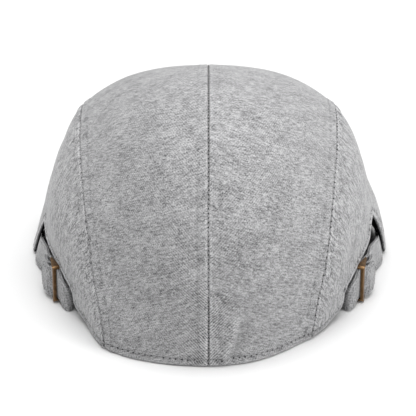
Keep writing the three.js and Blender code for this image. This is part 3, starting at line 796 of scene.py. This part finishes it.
def smooth_path(knots, steps):
    """A smooth curve through the places, each of which carries its lower and its upper edge."""
    k = np.array(knots)
    path = []
    for i in range(len(k) - 1):
        a, b, c, d = k[max(0, i - 1)], k[i], k[i + 1], k[min(len(k) - 1, i + 2)]
        m, n = (c - a) / 2, (d - b) / 2
        for u in np.arange(steps) / steps:
            e = c - b
            path.append(b + u * (m + u * (3 * e - 2 * m - n + u * (m + n - 2 * e))))
    path.append(k[-1])
    return np.array(path)


def strap_knots():
    """The strap's way from its sewn end out of the notch and through the buckle to its round end."""
    half, end = STRAP_WIDTH / 2, BUCKLE_LENGTH / 2
    corner = crown_point(0.25, 0.0)
    knots = [against_wall(*place, SEWN_EASE) for place in SEWN_END]
    for forward, outward, low, high in TURN_OUT:
        x, y = corner[0] + outward * STRAP_ROOM, corner[1] + forward * STRAP_ROOM
        knots.append(np.array([x, y, corner[2] + low * STRAP_WIDTH, x, y, corner[2] + high * STRAP_WIDTH]))
    knots += [upright_at_buckle(a * end, o * TAIL, -half, half) for a, o in THROUGH_BUCKLE]
    for short, inset in TAIL_END:
        edge = half - inset * TAIL_ROUND
        along = TAIL_LENGTH - short * TAIL_ROUND
        knots.append(upright_at_buckle(along, TAIL, -edge - TAIL_SAG, edge - TAIL_SAG))
    return knots


def tab_knots(amount):
    """The tab's way from its front end round the bar and back to its sewn end, which moves with the side."""
    half, bar = STRAP_WIDTH / 2, BUCKLE_LENGTH / 2
    fold = bar - BUCKLE_WALL - LAYER / 2 - 1.75 * BAR_PLAY
    knots = []

    def run(rows, level):
        for share, off, rise in rows:
            lift = rise * STRAP_WIDTH
            along = bar + share * (TAB_LENGTH - bar)
            knots.append(upright_at_buckle(along, level + off * LAYER, lift - half, lift + half))

    run(TAB_OVER, OVER_BAR)
    for share, back in TAB_FOLD:
        outward = UNDER_BAR + share * (OVER_BAR - UNDER_BAR)
        knots.append(upright_at_buckle(fold + back * LAYER, outward, -half, half))
    run(TAB_UNDER, UNDER_BAR)
    for at, low, high, ease, below in TAB_SEWN:
        place = against_wall(at, low, high, ease, below * STRAP_WIDTH)
        swell = side_swell(np.stack([place[:3], place[3:]]), amount)
        knots.append(place + swell.ravel())
    return knots


def band_ring():
    """Lines round a band: share of its width, distance from there, height in half thicknesses."""
    near = (EDGE_ROUND * STRAP_CLOTH, *NEAR_EDGE)
    face = [(0, d) for d in near] + [(0.5, d) for d in NEAR_MIDDLE] + [(1, -d) for d in near[::-1]]
    ring = [(share, d, 1.0) for share, d in face]
    ring += [(1, d, height) for d, height in LIP]
    ring += [(share, d, -1.0) for share, d in face[::-1]]
    return ring + [(0, -d, -height) for d, height in LIP]


def band_mesh(name, path, side, seed):
    """A sewn band on edge: two layers turned in at their edges, with a line of stitching near each."""
    low, high = path[:, :3], path[:, 3:]
    middle = (low + high) / 2
    width = np.linalg.norm(high - low, axis=-1)
    way = unit(np.gradient(middle, axis=0))
    up = unit(high - low)
    out = unit(np.cross(way, up))
    run = lengths(middle, 0)
    tight = np.minimum(1.0, width / NARROW)
    loops, uvs = [], []
    for share, d, height in band_ring():
        place = share * width + d * tight
        bulge = 0.10 * waves(np.stack([run, place, 0 * run], -1), 9.0, seed, 5)
        if abs(height) == 1.0:
            to_edge = np.minimum(place, width - place)
            bulge = bulge - np.sign(height) * 0.20 * bump(to_edge - BAND_STITCH, 0.4) * tight
        else:
            bulge = 0.5 * bulge
        outward = height * STRAP_CLOTH / 2 + bulge
        loops.append(low + up * place[:, None] + out * outward[:, None])
        uvs.append(np.stack([run, place + (0 if height > 0 else BACK_CLOTH_SHIFT)], -1))
    grid = np.stack(loops, 1)
    start = (grid[0] - middle[0]) * END_SHARE + middle[0] - way[0] * END_ROUND
    end = (grid[-1] - middle[-1]) * END_SHARE + middle[-1] + way[-1] * END_ROUND
    grid = np.concatenate([start[None], grid, end[None]])
    uv = np.stack(uvs, 1)
    uv = np.concatenate([uv[:1], uv, uv[-1:]])
    rows, count = grid.shape[:2]
    mirror = np.array([side, 1.0, 1.0])
    index = np.arange(rows * count).reshape(rows, count)
    after = np.roll(index, -1, axis=1)
    faces = np.stack([index[:-1], index[1:], after[1:], after[:-1]], -1).reshape(-1, 4).tolist()
    faces += [index[0].tolist(), index[-1][::-1].tolist()]
    material = bpy.data.materials["band_cloth"]
    thing = make_mesh(name, grid.reshape(-1, 3) * mirror, faces, [material], uv.reshape(-1, 2))
    bm = bmesh.new()
    bm.from_mesh(thing.data)
    caps = [f for f in bm.faces if len(f.verts) > 4]
    bmesh.ops.triangulate(bm, faces=caps)
    bmesh.ops.recalc_face_normals(bm, faces=bm.faces)
    bm.to_mesh(thing.data)
    bm.free()
    for word, edge, inset in (("low", low, BAND_STITCH), ("high", high, -BAND_STITCH)):
        line = edge + up * inset + out * (STRAP_CLOTH / 2 - BAND_DEEP)
        LINES[f"{name}_{word}"] = (line * mirror, out * mirror)
    return thing


class CAP_OT_straps(bpy.types.Operator):
    """Makes the adjusting straps, which come out of the notches and pass through the buckles"""
    bl_idname = "cap.straps"
    bl_label = "Straps"

    def execute(self, context):
        path = smooth_path(strap_knots(), PATH_STEPS)
        for side, word in ((1, "right"), (-1, "left")):
            thing = band_mesh(f"strap_{word}_cloth", path, side, BAND_SEEDS["strap"])
            finish_piece(thing, f"strap_{word}")
        return {"FINISHED"}


class CAP_OT_tabs(bpy.types.Operator):
    """Makes the tabs that hold the buckles, each folded round its buckle's far bar"""
    bl_idname = "cap.tabs"
    bl_label = "Tabs"

    def execute(self, context):
        for side, word in ((1, "right"), (-1, "left")):
            path = smooth_path(tab_knots(SIDE_SWELL[side]), PATH_STEPS)
            thing = band_mesh(f"tab_{word}_cloth", path, side, BAND_SEEDS["tab"])
            finish_piece(thing, f"tab_{word}")
        return {"FINISHED"}


# Buckles

class CAP_OT_buckles(bpy.types.Operator):
    """Rounds and finishes the two brass slide buckles"""
    bl_idname = "cap.buckles"
    bl_label = "Buckles"

    def execute(self, context):
        sizes = context.scene.cap_sizes
        for word in ("right", "left"):
            mesh = NODE[f"buckle_{word}"].data.copy()
            mesh.name = f"buckle_{word}_brass"
            bm = bmesh.new()
            bm.from_mesh(mesh)
            bmesh.ops.remove_doubles(bm, verts=bm.verts, dist=1e-6)
            bmesh.ops.dissolve_limit(bm, angle_limit=math.radians(1), verts=bm.verts, edges=bm.edges)
            bm.to_mesh(mesh)
            bm.free()
            mesh.materials.clear()
            mesh.materials.append(bpy.data.materials["antique_brass"])
            thing = bpy.data.objects.new(mesh.name, mesh)
            context.scene.collection.objects.link(thing)
            rounding = thing.modifiers.new("rounding", "BEVEL")
            rounding.width = sizes.buckle_edge
            rounding.segments = 3
            rounding.limit_method = "ANGLE"
            rounding.angle_limit = math.radians(35)
            rounding.harden_normals = True
            mesh.polygons.foreach_set("use_smooth", np.ones(len(mesh.polygons), bool))
            plain_copy(thing, mesh.name + "_rounded")
            finish_piece(thing, f"buckle_{word}", slot="brass")
        return {"FINISHED"}


# Stitches

# Where the hem of a side panel is sewn, along the crown: behind the notch, its near rim, and in front of it.
HEM_STRETCHES = ((0.0, 0.243), (0.275, 0.56), (0.668, 1.0))

# How far a row of stitches starts from the foot of the side seam, how far from its seam it runs, and how
# deep it lies in the cloth, in millimetres.
HEM_START = 0.8
HEM_DEEP = 0.02
SIDE_SEAM_INSET, SIDE_SEAM_DEEP = 0.30, -0.05
CENTRE_SEAM_INSET, CENTRE_SEAM_DEEP = 0.40, -0.06
BAND_DEEP = 0.16
LOWEST_STITCH = 1.0

# Each kind of row: the thread seen at a stitch and the dark spot of painted shade drawn for its needle hole,
# in millimetres, how thick the thread is beside the usual one, how long a stitch is beside the usual one, and
# the seed.
ROWS = {
    "hem": {"seen": 1.9, "hole": 0.95, "thick": 1.0, "longer": 1.0, "seed": 3},
    "side_seam_right": {"seen": 2.1, "hole": 0.80, "thick": 1.0, "longer": 1.35, "seed": 5},
    "side_seam_left": {"seen": 2.1, "hole": 0.50, "thick": 1.0, "longer": 1.35, "seed": 5},
    "band": {"seen": 1.6, "hole": 0.40, "thick": 0.8, "longer": 1.0, "seed": 7},
    "centre_seam": {"seen": 1.3, "hole": 0.70, "thick": 1.0, "longer": 1.0, "seed": 9},
    "peak": {"seen": 2.2, "hole": 0.40, "thick": 1.0, "longer": 1.0, "seed": 11},
}


def stitch_tree():
    """Stitches along a line: a short thread and, for the needle hole, a dark spot of painted shade at each
    step, laid on the cloth.
    """
    tree = bpy.data.node_groups.new("stitches", "GeometryNodeTree")
    socket = tree.interface.new_socket
    socket("Line", in_out="INPUT", socket_type="NodeSocketGeometry")
    for name, value in (("Pitch", 3 * MM), ("Thread length", 2.2 * MM), ("Thickness", 0.4 * MM),
                        ("Hole", 0.5 * MM)):
        size = socket(name, in_out="INPUT", socket_type="NodeSocketFloat")
        size.default_value = value
        size.subtype = "DISTANCE"
    socket("Seed", in_out="INPUT", socket_type="NodeSocketInt").default_value = 3
    for name in ("Thread", "Needle hole shade"):
        socket(name, in_out="INPUT", socket_type="NodeSocketMaterial")
    socket("Stitches", in_out="OUTPUT", socket_type="NodeSocketGeometry")
    w = Wiring(tree)
    enter = w.put("NodeGroupInput").outputs
    leave = w.put("NodeGroupOutput")

    curve = w.make("GeometryNodeMeshToCurve", "Curve", {"Mesh": enter["Line"]})
    even = w.make("GeometryNodeResampleCurve", "Curve", {"Curve": curve, "Length": enter["Pitch"]},
                  mode="LENGTH")
    outward = w.make("GeometryNodeInputNamedAttribute", "Attribute", {"Name": "outward"},
                     data_type="FLOAT_VECTOR")
    tangent = w.make("GeometryNodeInputTangent", "Tangent")
    along = w.make("FunctionNodeAlignRotationToVector", "Rotation", {"Vector": tangent}, axis="X")
    facing = w.make("FunctionNodeAlignRotationToVector", "Rotation",
                    {"Rotation": along, "Vector": outward}, axis="Z", pivot_axis="X")
    ball = w.make("GeometryNodeMeshUVSphere", "Mesh", {"Segments": 8, "Rings": 6, "Radius": 0.5})

    def sized(length, across, shift, is_hole):
        size = w.make("ShaderNodeCombineXYZ", "Vector", {"X": length, "Y": across, "Z": enter["Thickness"]})
        move = w.make("ShaderNodeCombineXYZ", "Vector", {"X": shift})
        place = w.make("GeometryNodeTransform", "Geometry",
                       {"Geometry": ball, "Scale": size, "Translation": move})
        smoothed = w.make("GeometryNodeSetShadeSmooth", "Geometry", {"Geometry": place})
        return w.make("GeometryNodeStoreNamedAttribute", "Geometry",
                      {"Geometry": smoothed, "Name": "is_hole", "Value": is_hole},
                      data_type="BOOLEAN", domain="FACE")

    thread = sized(enter["Thread length"], enter["Thickness"], None, False)
    # The needle hole is a dark spot of painted shade, half a stitch on from the thread.
    hole = sized(enter["Hole"], enter["Hole"], w.math("MULTIPLY", enter["Pitch"], 0.5), True)
    both = w.put("GeometryNodeJoinGeometry")
    for part in (thread, hole):
        w.feed(both.inputs["Geometry"], part)
    vary = w.make("FunctionNodeRandomValue", "Value", {
        "Min": (0.80, 0.85, 0.8), "Max": (1.10, 1.15, 1.2), "Seed": enter["Seed"]},
        data_type="FLOAT_VECTOR")
    stand = w.make("GeometryNodeInstanceOnPoints", "Instances", {
        "Points": even, "Instance": both.outputs["Geometry"], "Rotation": facing, "Scale": vary})
    painted = w.make("GeometryNodeRealizeInstances", "Geometry", {"Geometry": stand})
    is_hole = w.make("GeometryNodeInputNamedAttribute", "Attribute", {"Name": "is_hole"},
                     data_type="BOOLEAN")
    is_thread = w.make("FunctionNodeBooleanMath", "Boolean", {0: is_hole}, operation="NOT")
    for chosen, label in ((is_thread, "Thread"), (is_hole, "Needle hole shade")):
        painted = w.make("GeometryNodeSetMaterial", "Geometry", {
            "Geometry": painted, "Selection": chosen, "Material": enter[label]})
    w.feed(leave.inputs["Stitches"], painted)
    return tree


def line_mesh(name, lines):
    """Open lines as edges, each point with the outward direction of the cloth under it."""
    mesh = bpy.data.meshes.new(name)
    points, edges, normals = [], [], []
    for line, normal in lines:
        start = len(points)
        points += [tuple(p * MM) for p in line]
        normals += [tuple(n) for n in normal]
        edges += [(start + i, start + i + 1) for i in range(len(line) - 1)]
    mesh.from_pydata(points, edges, [])
    store = mesh.attributes.new("outward", "FLOAT_VECTOR", "POINT")
    store.data.foreach_set("vector", np.array(normals, np.float32).ravel())
    thing = bpy.data.objects.new(name, mesh)
    bpy.context.scene.collection.objects.link(thing)
    return thing


def sew(name, lines, stitch, thread, row):
    """Stitches along some lines, as one piece. stitch is the usual length of a stitch with its gap."""
    tree = bpy.data.node_groups.get("stitches") or stitch_tree()
    thing = line_mesh(name, lines)
    worker = thing.modifiers.new("stitches", "NODES")
    worker.node_group = tree
    values = {"Pitch": stitch * row["longer"], "Thread length": row["seen"] * MM,
              "Thickness": thread * row["thick"], "Hole": row["hole"] * MM, "Seed": row["seed"],
              "Thread": bpy.data.materials["sewing_thread"],
              "Needle hole shade": bpy.data.materials["needle_hole_shade"]}
    for item in tree.interface.items_tree:
        if item.item_type == "SOCKET" and item.in_out == "INPUT" and item.name in values:
            worker[item.identifier] = values[item.name]
    plain_copy(thing, name)
    if not thing.data.polygons:
        raise RuntimeError(f"{name} came out empty")
    finish_piece(thing)


def read_at(distance, run, values):
    """The point or direction at a distance along one line of a grid."""
    return [np.interp(distance, run, values[:, k]) for k in range(3)]


def row_line(panel, from_start, distance, deep, first=0.0, last=1.0):
    """A line at a fixed distance from one side of a panel, on its outer face."""
    grid = LINES[panel]
    points, normals = [], []
    for p, n, run, at in zip(grid["outer"], grid["normal"], grid["distance"], grid["stations"]):
        if first <= at <= last:
            place = distance if from_start else run[-1] - distance
            points.append(read_at(place, run, p))
            normals.append(read_at(place, run, n))
    points, normals = np.array(points), unit(np.array(normals))
    clear = points[:, 2] > LOWEST_STITCH
    return (points - normals * deep)[clear], normals[clear]


def column_line(panel, distance, deep, first):
    """A line at a fixed distance up from the back hem, across a top panel."""
    grid = LINES[panel]
    points, normals = [], []
    for j, start in enumerate(grid["distance"][0]):
        if start >= first:
            run = grid["along"][:, j]
            points.append(read_at(distance, run, grid["outer"][:, j]))
            normals.append(read_at(distance, run, grid["normal"][:, j]))
    points, normals = np.array(points), unit(np.array(normals))
    return points - normals * deep, normals


class CAP_OT_stitching(bpy.types.Operator):
    """Sews the seams, the hem, the peak, the straps and the tabs"""
    bl_idname = "cap.stitching"
    bl_label = "Stitching"

    def execute(self, context):
        sizes = context.scene.cap_sizes
        thread = sizes.thread
        hem = sizes.hem_line / MM
        for word in ("right", "left"):
            top, side = f"top_panel_{word}_cloth", f"side_panel_{word}_cloth"
            lines = [column_line(top, hem, HEM_DEEP, HEM_START)]
            lines += [row_line(side, True, hem, HEM_DEEP, *stretch) for stretch in HEM_STRETCHES]
            sew(f"hem_stitches_{word}", lines, sizes.stitch, thread, ROWS["hem"])
            lines = [row_line(side, False, SIDE_SEAM_INSET, SIDE_SEAM_DEEP)]
            row = ROWS[f"side_seam_{word}"]
            sew(f"side_seam_stitches_{word}", lines, sizes.seam_stitch, thread, row)
            lines = [LINES[f"{band}_{word}_cloth_{edge}"]
                     for band in ("strap", "tab") for edge in ("low", "high")]
            sew(f"band_stitches_{word}", lines, sizes.seam_stitch, thread, ROWS["band"])
        points, normals = row_line("top_panel_right_cloth", False, CENTRE_SEAM_INSET, CENTRE_SEAM_DEEP)
        points[:, 0] = 0
        sew("centre_seam_stitches", [(points, normals)], sizes.seam_stitch, thread, ROWS["centre_seam"])
        sew("peak_stitches", [LINES["peak"]], sizes.stitch, thread, ROWS["peak"])
        return {"FINISHED"}


# Materials

CLOTH_FINISH = {"Roughness": 0.92, "Sheen Weight": 0.25, "Sheen Roughness": 0.5, "Specular IOR Level": 0.15}
RIB_PITCH = 2.2             # millimetres from rib to rib, up the cloth
RIB_STRENGTH = 0.20
PRESSED_RIB_STRENGTH = 0.45     # more of it, where the seam was pressed
PAINTED_SHADING_STRENGTH = 0.85         # how strongly the painted shade and highlight of seams, hem and fold darken or lighten the cloth
# Near-black painted shade for the needle holes.
NEEDLE_HOLE_SHADE = (0.03, 0.03, 0.032)


def new_group(name, inputs, outputs):
    """A shader node group with its sockets, and the nodes where it begins and ends."""
    group = bpy.data.node_groups.new(name, "ShaderNodeTree")
    for label, kind, value in inputs:
        socket = group.interface.new_socket(label, in_out="INPUT", socket_type=kind)
        if value is not None:
            socket.default_value = value
    for label, kind in outputs:
        group.interface.new_socket(label, in_out="OUTPUT", socket_type=kind)
    return group, group.nodes.new("NodeGroupInput").outputs, group.nodes.new("NodeGroupOutput").inputs


def heather_group():
    """Heather twill: mixed light and dark fibres, a fine slanting rib and soft cloudy changes."""
    group, enter, leave = new_group(
        "heather_twill",
        [("Cloth", "NodeSocketVector", None), ("Light fibre", "NodeSocketColor", None),
         ("Dark fibre", "NodeSocketColor", None), ("Rib", "NodeSocketFloat", RIB_PITCH),
         ("Rib strength", "NodeSocketFloat", RIB_STRENGTH), ("Fleck", "NodeSocketFloat", 1.0),
         ("Lean", "NodeSocketFloat", 0.0), ("Wisp", "NodeSocketFloat", 1.0)],
        [("Color", "NodeSocketColor"), ("Height", "NodeSocketFloat")])
    w = Wiring(group)
    cloth = enter["Cloth"]
    apart = w.put("ShaderNodeSeparateXYZ")
    w.feed(apart.inputs["Vector"], cloth)
    up, over = apart.outputs["X"], apart.outputs["Y"]
    tilt = w.math("MULTIPLY_ADD", over, enter["Lean"], up)
    leant = w.make("ShaderNodeCombineXYZ", "Vector", {"X": tilt, "Y": over})

    # Each layer is a noise with this many changes per millimetre up and over the cloth.
    wisp = w.noise(w.scale(leant, (1.05, 0.24, 1.0)), enter["Wisp"], 2.5, 0.62, 0.25)
    fine = w.noise(w.scale(leant, (1.7, 0.85, 1.0)), 1.0, 1.0, 0.6)
    grain = w.noise(w.scale(cloth, (0.75, 1.5, 1.0)), 1.0, 1.0, 0.6)
    cloud = w.noise(w.scale(leant, (0.15, 0.06, 1.0)), 1.0, 3.0, 0.55)
    speck = w.noise(w.scale(cloth, (2.1, 1.7, 1.0)), 1.0, 1.0, 0.5)
    fleck = w.noise(w.scale(leant, (1.5, 0.55, 1.0)), 1.0, 1.0, 0.5)

    # The rib slants, wavers a little and fades in and out.
    turns = w.math("DIVIDE", w.math("MULTIPLY_ADD", over, 1.4, up), enter["Rib"])
    turns = w.math("ADD", turns, w.math("MULTIPLY", w.noise(cloth, 0.35, 1.0), 0.7))
    rib = w.math("SINE", w.math("MULTIPLY", turns, 2 * math.pi))
    fade = w.spread(w.noise(w.scale(cloth, (0.05, 0.05, 1.0)), 1.0, 1.0), 0.30, 0.60, 0.30, 1.0)
    rib = w.math("MULTIPLY", rib, fade)

    # The layers add up to a tone between the dark fibre and the light one.
    tone = w.math("MULTIPLY", w.spread(wisp, 0.32, 0.68, -0.5, 0.5), 0.72)
    for part, share in ((fine, 0.50), (grain, 0.32), (speck, 0.50)):
        tone = w.math("MULTIPLY_ADD", w.spread(part, 0.3, 0.7, -0.5, 0.5), share, tone)
    tone = w.math("MULTIPLY", tone, enter["Fleck"])
    tone = w.math("MULTIPLY_ADD", w.math("SUBTRACT", cloud, 0.5), 0.6, tone)
    tone = w.math("MULTIPLY_ADD", w.spread(fleck, 0.62, 0.74), 0.35, tone)
    tone = w.math("MULTIPLY_ADD", w.spread(fleck, 0.36, 0.26), -0.40, tone)
    tone = w.math("MULTIPLY_ADD", w.math("MULTIPLY", rib, enter["Rib strength"]), 0.5, tone)
    w.feed(leave["Color"], w.mix(w.spread(tone, -0.5, 0.5), enter["Dark fibre"], enter["Light fibre"]))
    height = w.math("MULTIPLY_ADD", rib, 0.35, w.math("ADD", wisp, fine))
    w.feed(leave["Height"], w.math("MULTIPLY_ADD", speck, 0.6, height))
    return group


def grain_group():
    """Fine grain: one colour, a little lighter and darker from place to place."""
    group, enter, leave = new_group(
        "fine_grain",
        [("Point", "NodeSocketVector", None), ("Plain", "NodeSocketColor", None),
         ("Grain", "NodeSocketFloat", 0.2)],
        [("Color", "NodeSocketColor"), ("Height", "NodeSocketFloat")])
    w = Wiring(group)
    grit = w.noise(enter["Point"], 2600.0, 2.0)
    darkest = w.math("SUBTRACT", 1.0, enter["Grain"])
    lightest = w.math("ADD", 1.0, enter["Grain"])
    w.feed(leave["Color"], w.tint(enter["Plain"], w.spread(grit, 0.3, 0.7, darkest, lightest)))
    w.feed(leave["Height"], grit)
    return group


def fresh_material(name, finish):
    """A material, a way to wire it, and the inputs of its surface, some of which are set here."""
    material = bpy.data.materials.new(name)
    material.use_nodes = True
    surface = material.node_tree.nodes["Principled BSDF"].inputs
    for label, value in finish.items():
        surface[label].default_value = value
    return material, Wiring(material.node_tree), surface


def place_group(w, make_group, name, values):
    """Outputs of a node group that is placed in a material with the material's own values."""
    node = w.put("ShaderNodeGroup", node_tree=bpy.data.node_groups.get(name) or make_group())
    for label, value in values.items():
        w.feed(node.inputs[label], value)
    return node.outputs


def cloth_material(name, colours, fleck, lean, wisp, light=1.0):
    """The heather cloth, by the strength of its flecks, the lean and size of its wisps, and its tone."""
    _, w, surface = fresh_material(name, CLOTH_FINISH)
    pressed, painted_shading_map = [
        w.make("ShaderNodeAttribute", "Fac", attribute_type="GEOMETRY", attribute_name=mark)
        for mark in ("pressed", "shade")]
    weave = place_group(w, heather_group, "heather_twill", {
        "Cloth": w.make("ShaderNodeUVMap", "UV", uv_map="cloth"),
        "Light fibre": (*[v * light for v in colours.light_fibre], 1),
        "Dark fibre": (*[v * light for v in colours.dark_fibre], 1),
        "Rib strength": w.math("MULTIPLY_ADD", pressed, PRESSED_RIB_STRENGTH, RIB_STRENGTH),
        "Fleck": fleck, "Lean": lean, "Wisp": wisp})
    # Painted shade and highlight from the panels' shade mark darken or lighten the cloth's colour.
    darker = w.math("MULTIPLY_ADD", painted_shading_map, -PAINTED_SHADING_STRENGTH, 1.0)
    w.feed(surface["Base Color"], w.tint(weave["Color"], darker))
    w.feed(surface["Normal"], w.relief(weave["Height"], 0.5, 0.12))


def plain_material(name, colour, roughness, grain):
    """A cloth or thread of one colour with a little grain."""
    _, w, surface = fresh_material(name, {"Roughness": roughness, "Specular IOR Level": 0.1})
    point = w.make("ShaderNodeTexCoord", "Object")
    cloth = place_group(w, grain_group, "fine_grain", {"Point": point, "Plain": (*colour, 1), "Grain": grain})
    w.feed(surface["Base Color"], cloth["Color"])
    w.feed(surface["Normal"], w.relief(cloth["Height"], 0.4, 0.08))


def brass_material(colours):
    """Antique brass: rubbed bright on its edges, dark in its hollows, with fine scratches."""
    _, w, surface = fresh_material("antique_brass", {"Metallic": 0.9})
    point = w.make("ShaderNodeTexCoord", "Object")
    rubbed = w.spread(w.make("ShaderNodeNewGeometry", "Pointiness"), 0.52, 0.58)
    blotch = w.noise(point, 420.0, 4.0, 0.6)
    scratch = w.noise(w.scale(point, (900.0, 900.0, 5200.0)), 1.0, 2.0)
    wear = w.math("ADD", w.math("MULTIPLY", rubbed, 0.75), w.spread(blotch, 0.45, 0.80, 0.0, 0.40))
    wear = w.math("MINIMUM", wear, 1.0)
    w.feed(surface["Base Color"], w.mix(wear, (*colours.patina, 1), (*colours.brass, 1)))
    w.feed(surface["Roughness"], w.spread(scratch, 0.3, 0.7, 0.28, 0.46))
    w.feed(surface["Normal"], w.relief(w.math("ADD", blotch, scratch), 0.25, 0.05))


class CAP_OT_materials(bpy.types.Operator):
    """Makes the heather cloth, its dark inner face, the thread, the painted shade of the needle holes and the
    brass
    """
    bl_idname = "cap.materials"
    bl_label = "Materials"

    def execute(self, context):
        colours = context.scene.cap_colours
        cloth_material("heather_cloth", colours, fleck=0.74, lean=-0.38, wisp=1.0)
        cloth_material("heather_side", colours, fleck=1.12, lean=0.42, wisp=0.78)
        cloth_material("band_cloth", colours, fleck=0.8, lean=-0.14, wisp=1.0, light=0.90)
        plain_material("crown_inside", colours.inside, roughness=0.95, grain=0.3)
        plain_material("sewing_thread", colours.thread, roughness=0.7, grain=0.2)
        # The needle holes' material is painted shade.
        plain_material("needle_hole_shade", NEEDLE_HOLE_SHADE, roughness=0.9, grain=0.1)
        brass_material(colours)
        return {"FINISHED"}


# Stage

# Metres and watts from here on.
FLOOR_REACH = 6.0
FLOOR_GREY = 0.72
WORLD_STRENGTH = 0.65

# The lamps: name, place, what it points at, size and power.
LAMPS = (
    ("overhead", (0.0, -0.15, 1.5), (0, 0, 0), 1.3, 21.5),
    ("right_fill", (1.3, -0.7, 0.6), (0, 0, 0.05), 0.8, 10.4),
    ("left_fill", (-1.3, -0.3, 0.6), (0, 0, 0.05), 0.8, 2.4),
)

# The camera looks down at the back of the cap, from far off with a long lens. It circles CAMERA_MIDDLE and
# points a little below it, so that the cap stands in its picture as in the photo.
CAMERA_MIDDLE = (-0.00027, 0, 0.045)
CAMERA_AWAY = 1.2
CAMERA_RISE = math.radians(25)
CAMERA_BELOW = 0.0142
CAMERA_LENS = 189.8         # millimetres


def point_at(thing, place, target):
    """Puts a lamp or the camera in the scene, at its place and facing its target."""
    thing.location = place
    thing.rotation_mode = "QUATERNION"
    thing.rotation_quaternion = (Vector(target) - Vector(place)).to_track_quat("-Z", "Y")
    bpy.context.scene.collection.objects.link(thing)


class CAP_OT_stage(bpy.types.Operator):
    """Makes the floor, the soft lights and the camera"""
    bl_idname = "cap.stage"
    bl_label = "Stage"

    def execute(self, context):
        scene = context.scene
        scene.view_settings.view_transform = "Standard"
        material, *_ = fresh_material("white_floor", {
            "Base Color": (FLOOR_GREY, FLOOR_GREY, FLOOR_GREY, 1), "Roughness": 0.8,
            "Specular IOR Level": 0.1})
        mesh = bpy.data.meshes.new("floor")
        corners = [(x * FLOOR_REACH, y * FLOOR_REACH, 0) for x, y in ((-1, -1), (1, -1), (1, 1), (-1, 1))]
        mesh.from_pydata(corners, [], [(0, 1, 2, 3)])
        mesh.materials.append(material)
        floor = bpy.data.objects.new("floor", mesh)
        scene.collection.objects.link(floor)

        scene.world = bpy.data.worlds.new("studio")
        scene.world.use_nodes = True
        background = scene.world.node_tree.nodes["Background"].inputs
        background["Color"].default_value = (1, 1, 1, 1)
        background["Strength"].default_value = WORLD_STRENGTH
        for name, place, target, size, power in LAMPS:
            light = bpy.data.lights.new(name, "AREA")
            light.shape = "DISK"
            light.size = size
            light.energy = power
            point_at(bpy.data.objects.new(name, light), place, target)

        camera = bpy.data.cameras.new("camera")
        camera.lens = CAMERA_LENS
        camera.sensor_width = 36.0
        camera.clip_start = 0.05
        camera.clip_end = 20.0
        seat = bpy.data.objects.new("camera", camera)
        ahead, above = math.cos(CAMERA_RISE), math.sin(CAMERA_RISE)
        x, y, z = CAMERA_MIDDLE
        place = (x, y - CAMERA_AWAY * ahead, z + CAMERA_AWAY * above)
        point_at(seat, place, Vector(CAMERA_MIDDLE) - Vector((0, above, ahead)) * CAMERA_BELOW)
        scene.camera = seat
        return {"FINISHED"}


# Panel and registration

class CAP_PT_panel(bpy.types.Panel):
    """Lists the steps that make the cap, with its sizes and colours"""
    bl_idname = "CAP_PT_panel"
    bl_label = "Flat cap"
    bl_space_type = "VIEW_3D"
    bl_region_type = "UI"
    bl_category = "Flat cap"

    def draw(self, context):
        layout = self.layout
        for settings in (context.scene.cap_sizes, context.scene.cap_colours):
            box = layout.box()
            for name in settings.__annotations__:
                box.prop(settings, name)
        for step in STEPS:
            layout.operator(step.bl_idname)


STEPS = (CAP_OT_materials, CAP_OT_peak, CAP_OT_crown, CAP_OT_straps, CAP_OT_tabs, CAP_OT_buckles,
         CAP_OT_stitching, CAP_OT_stage)
CLASSES = (CapSizes, CapColours, *STEPS, CAP_PT_panel)


def register():
    for cls in CLASSES:
        bpy.utils.register_class(cls)
    bpy.types.Scene.cap_sizes = bpy.props.PointerProperty(type=CapSizes)
    bpy.types.Scene.cap_colours = bpy.props.PointerProperty(type=CapColours)


def unregister():
    del bpy.types.Scene.cap_sizes
    del bpy.types.Scene.cap_colours
    for cls in reversed(CLASSES):
        bpy.utils.unregister_class(cls)


def main():
    register()
    bpy.ops.cap.materials()
    bpy.ops.cap.peak()
    bpy.ops.cap.crown()
    bpy.ops.cap.straps()
    bpy.ops.cap.tabs()
    bpy.ops.cap.buckles()
    bpy.ops.cap.stitching()
    bpy.ops.cap.stage()


if __name__ == "__main__":
    main()
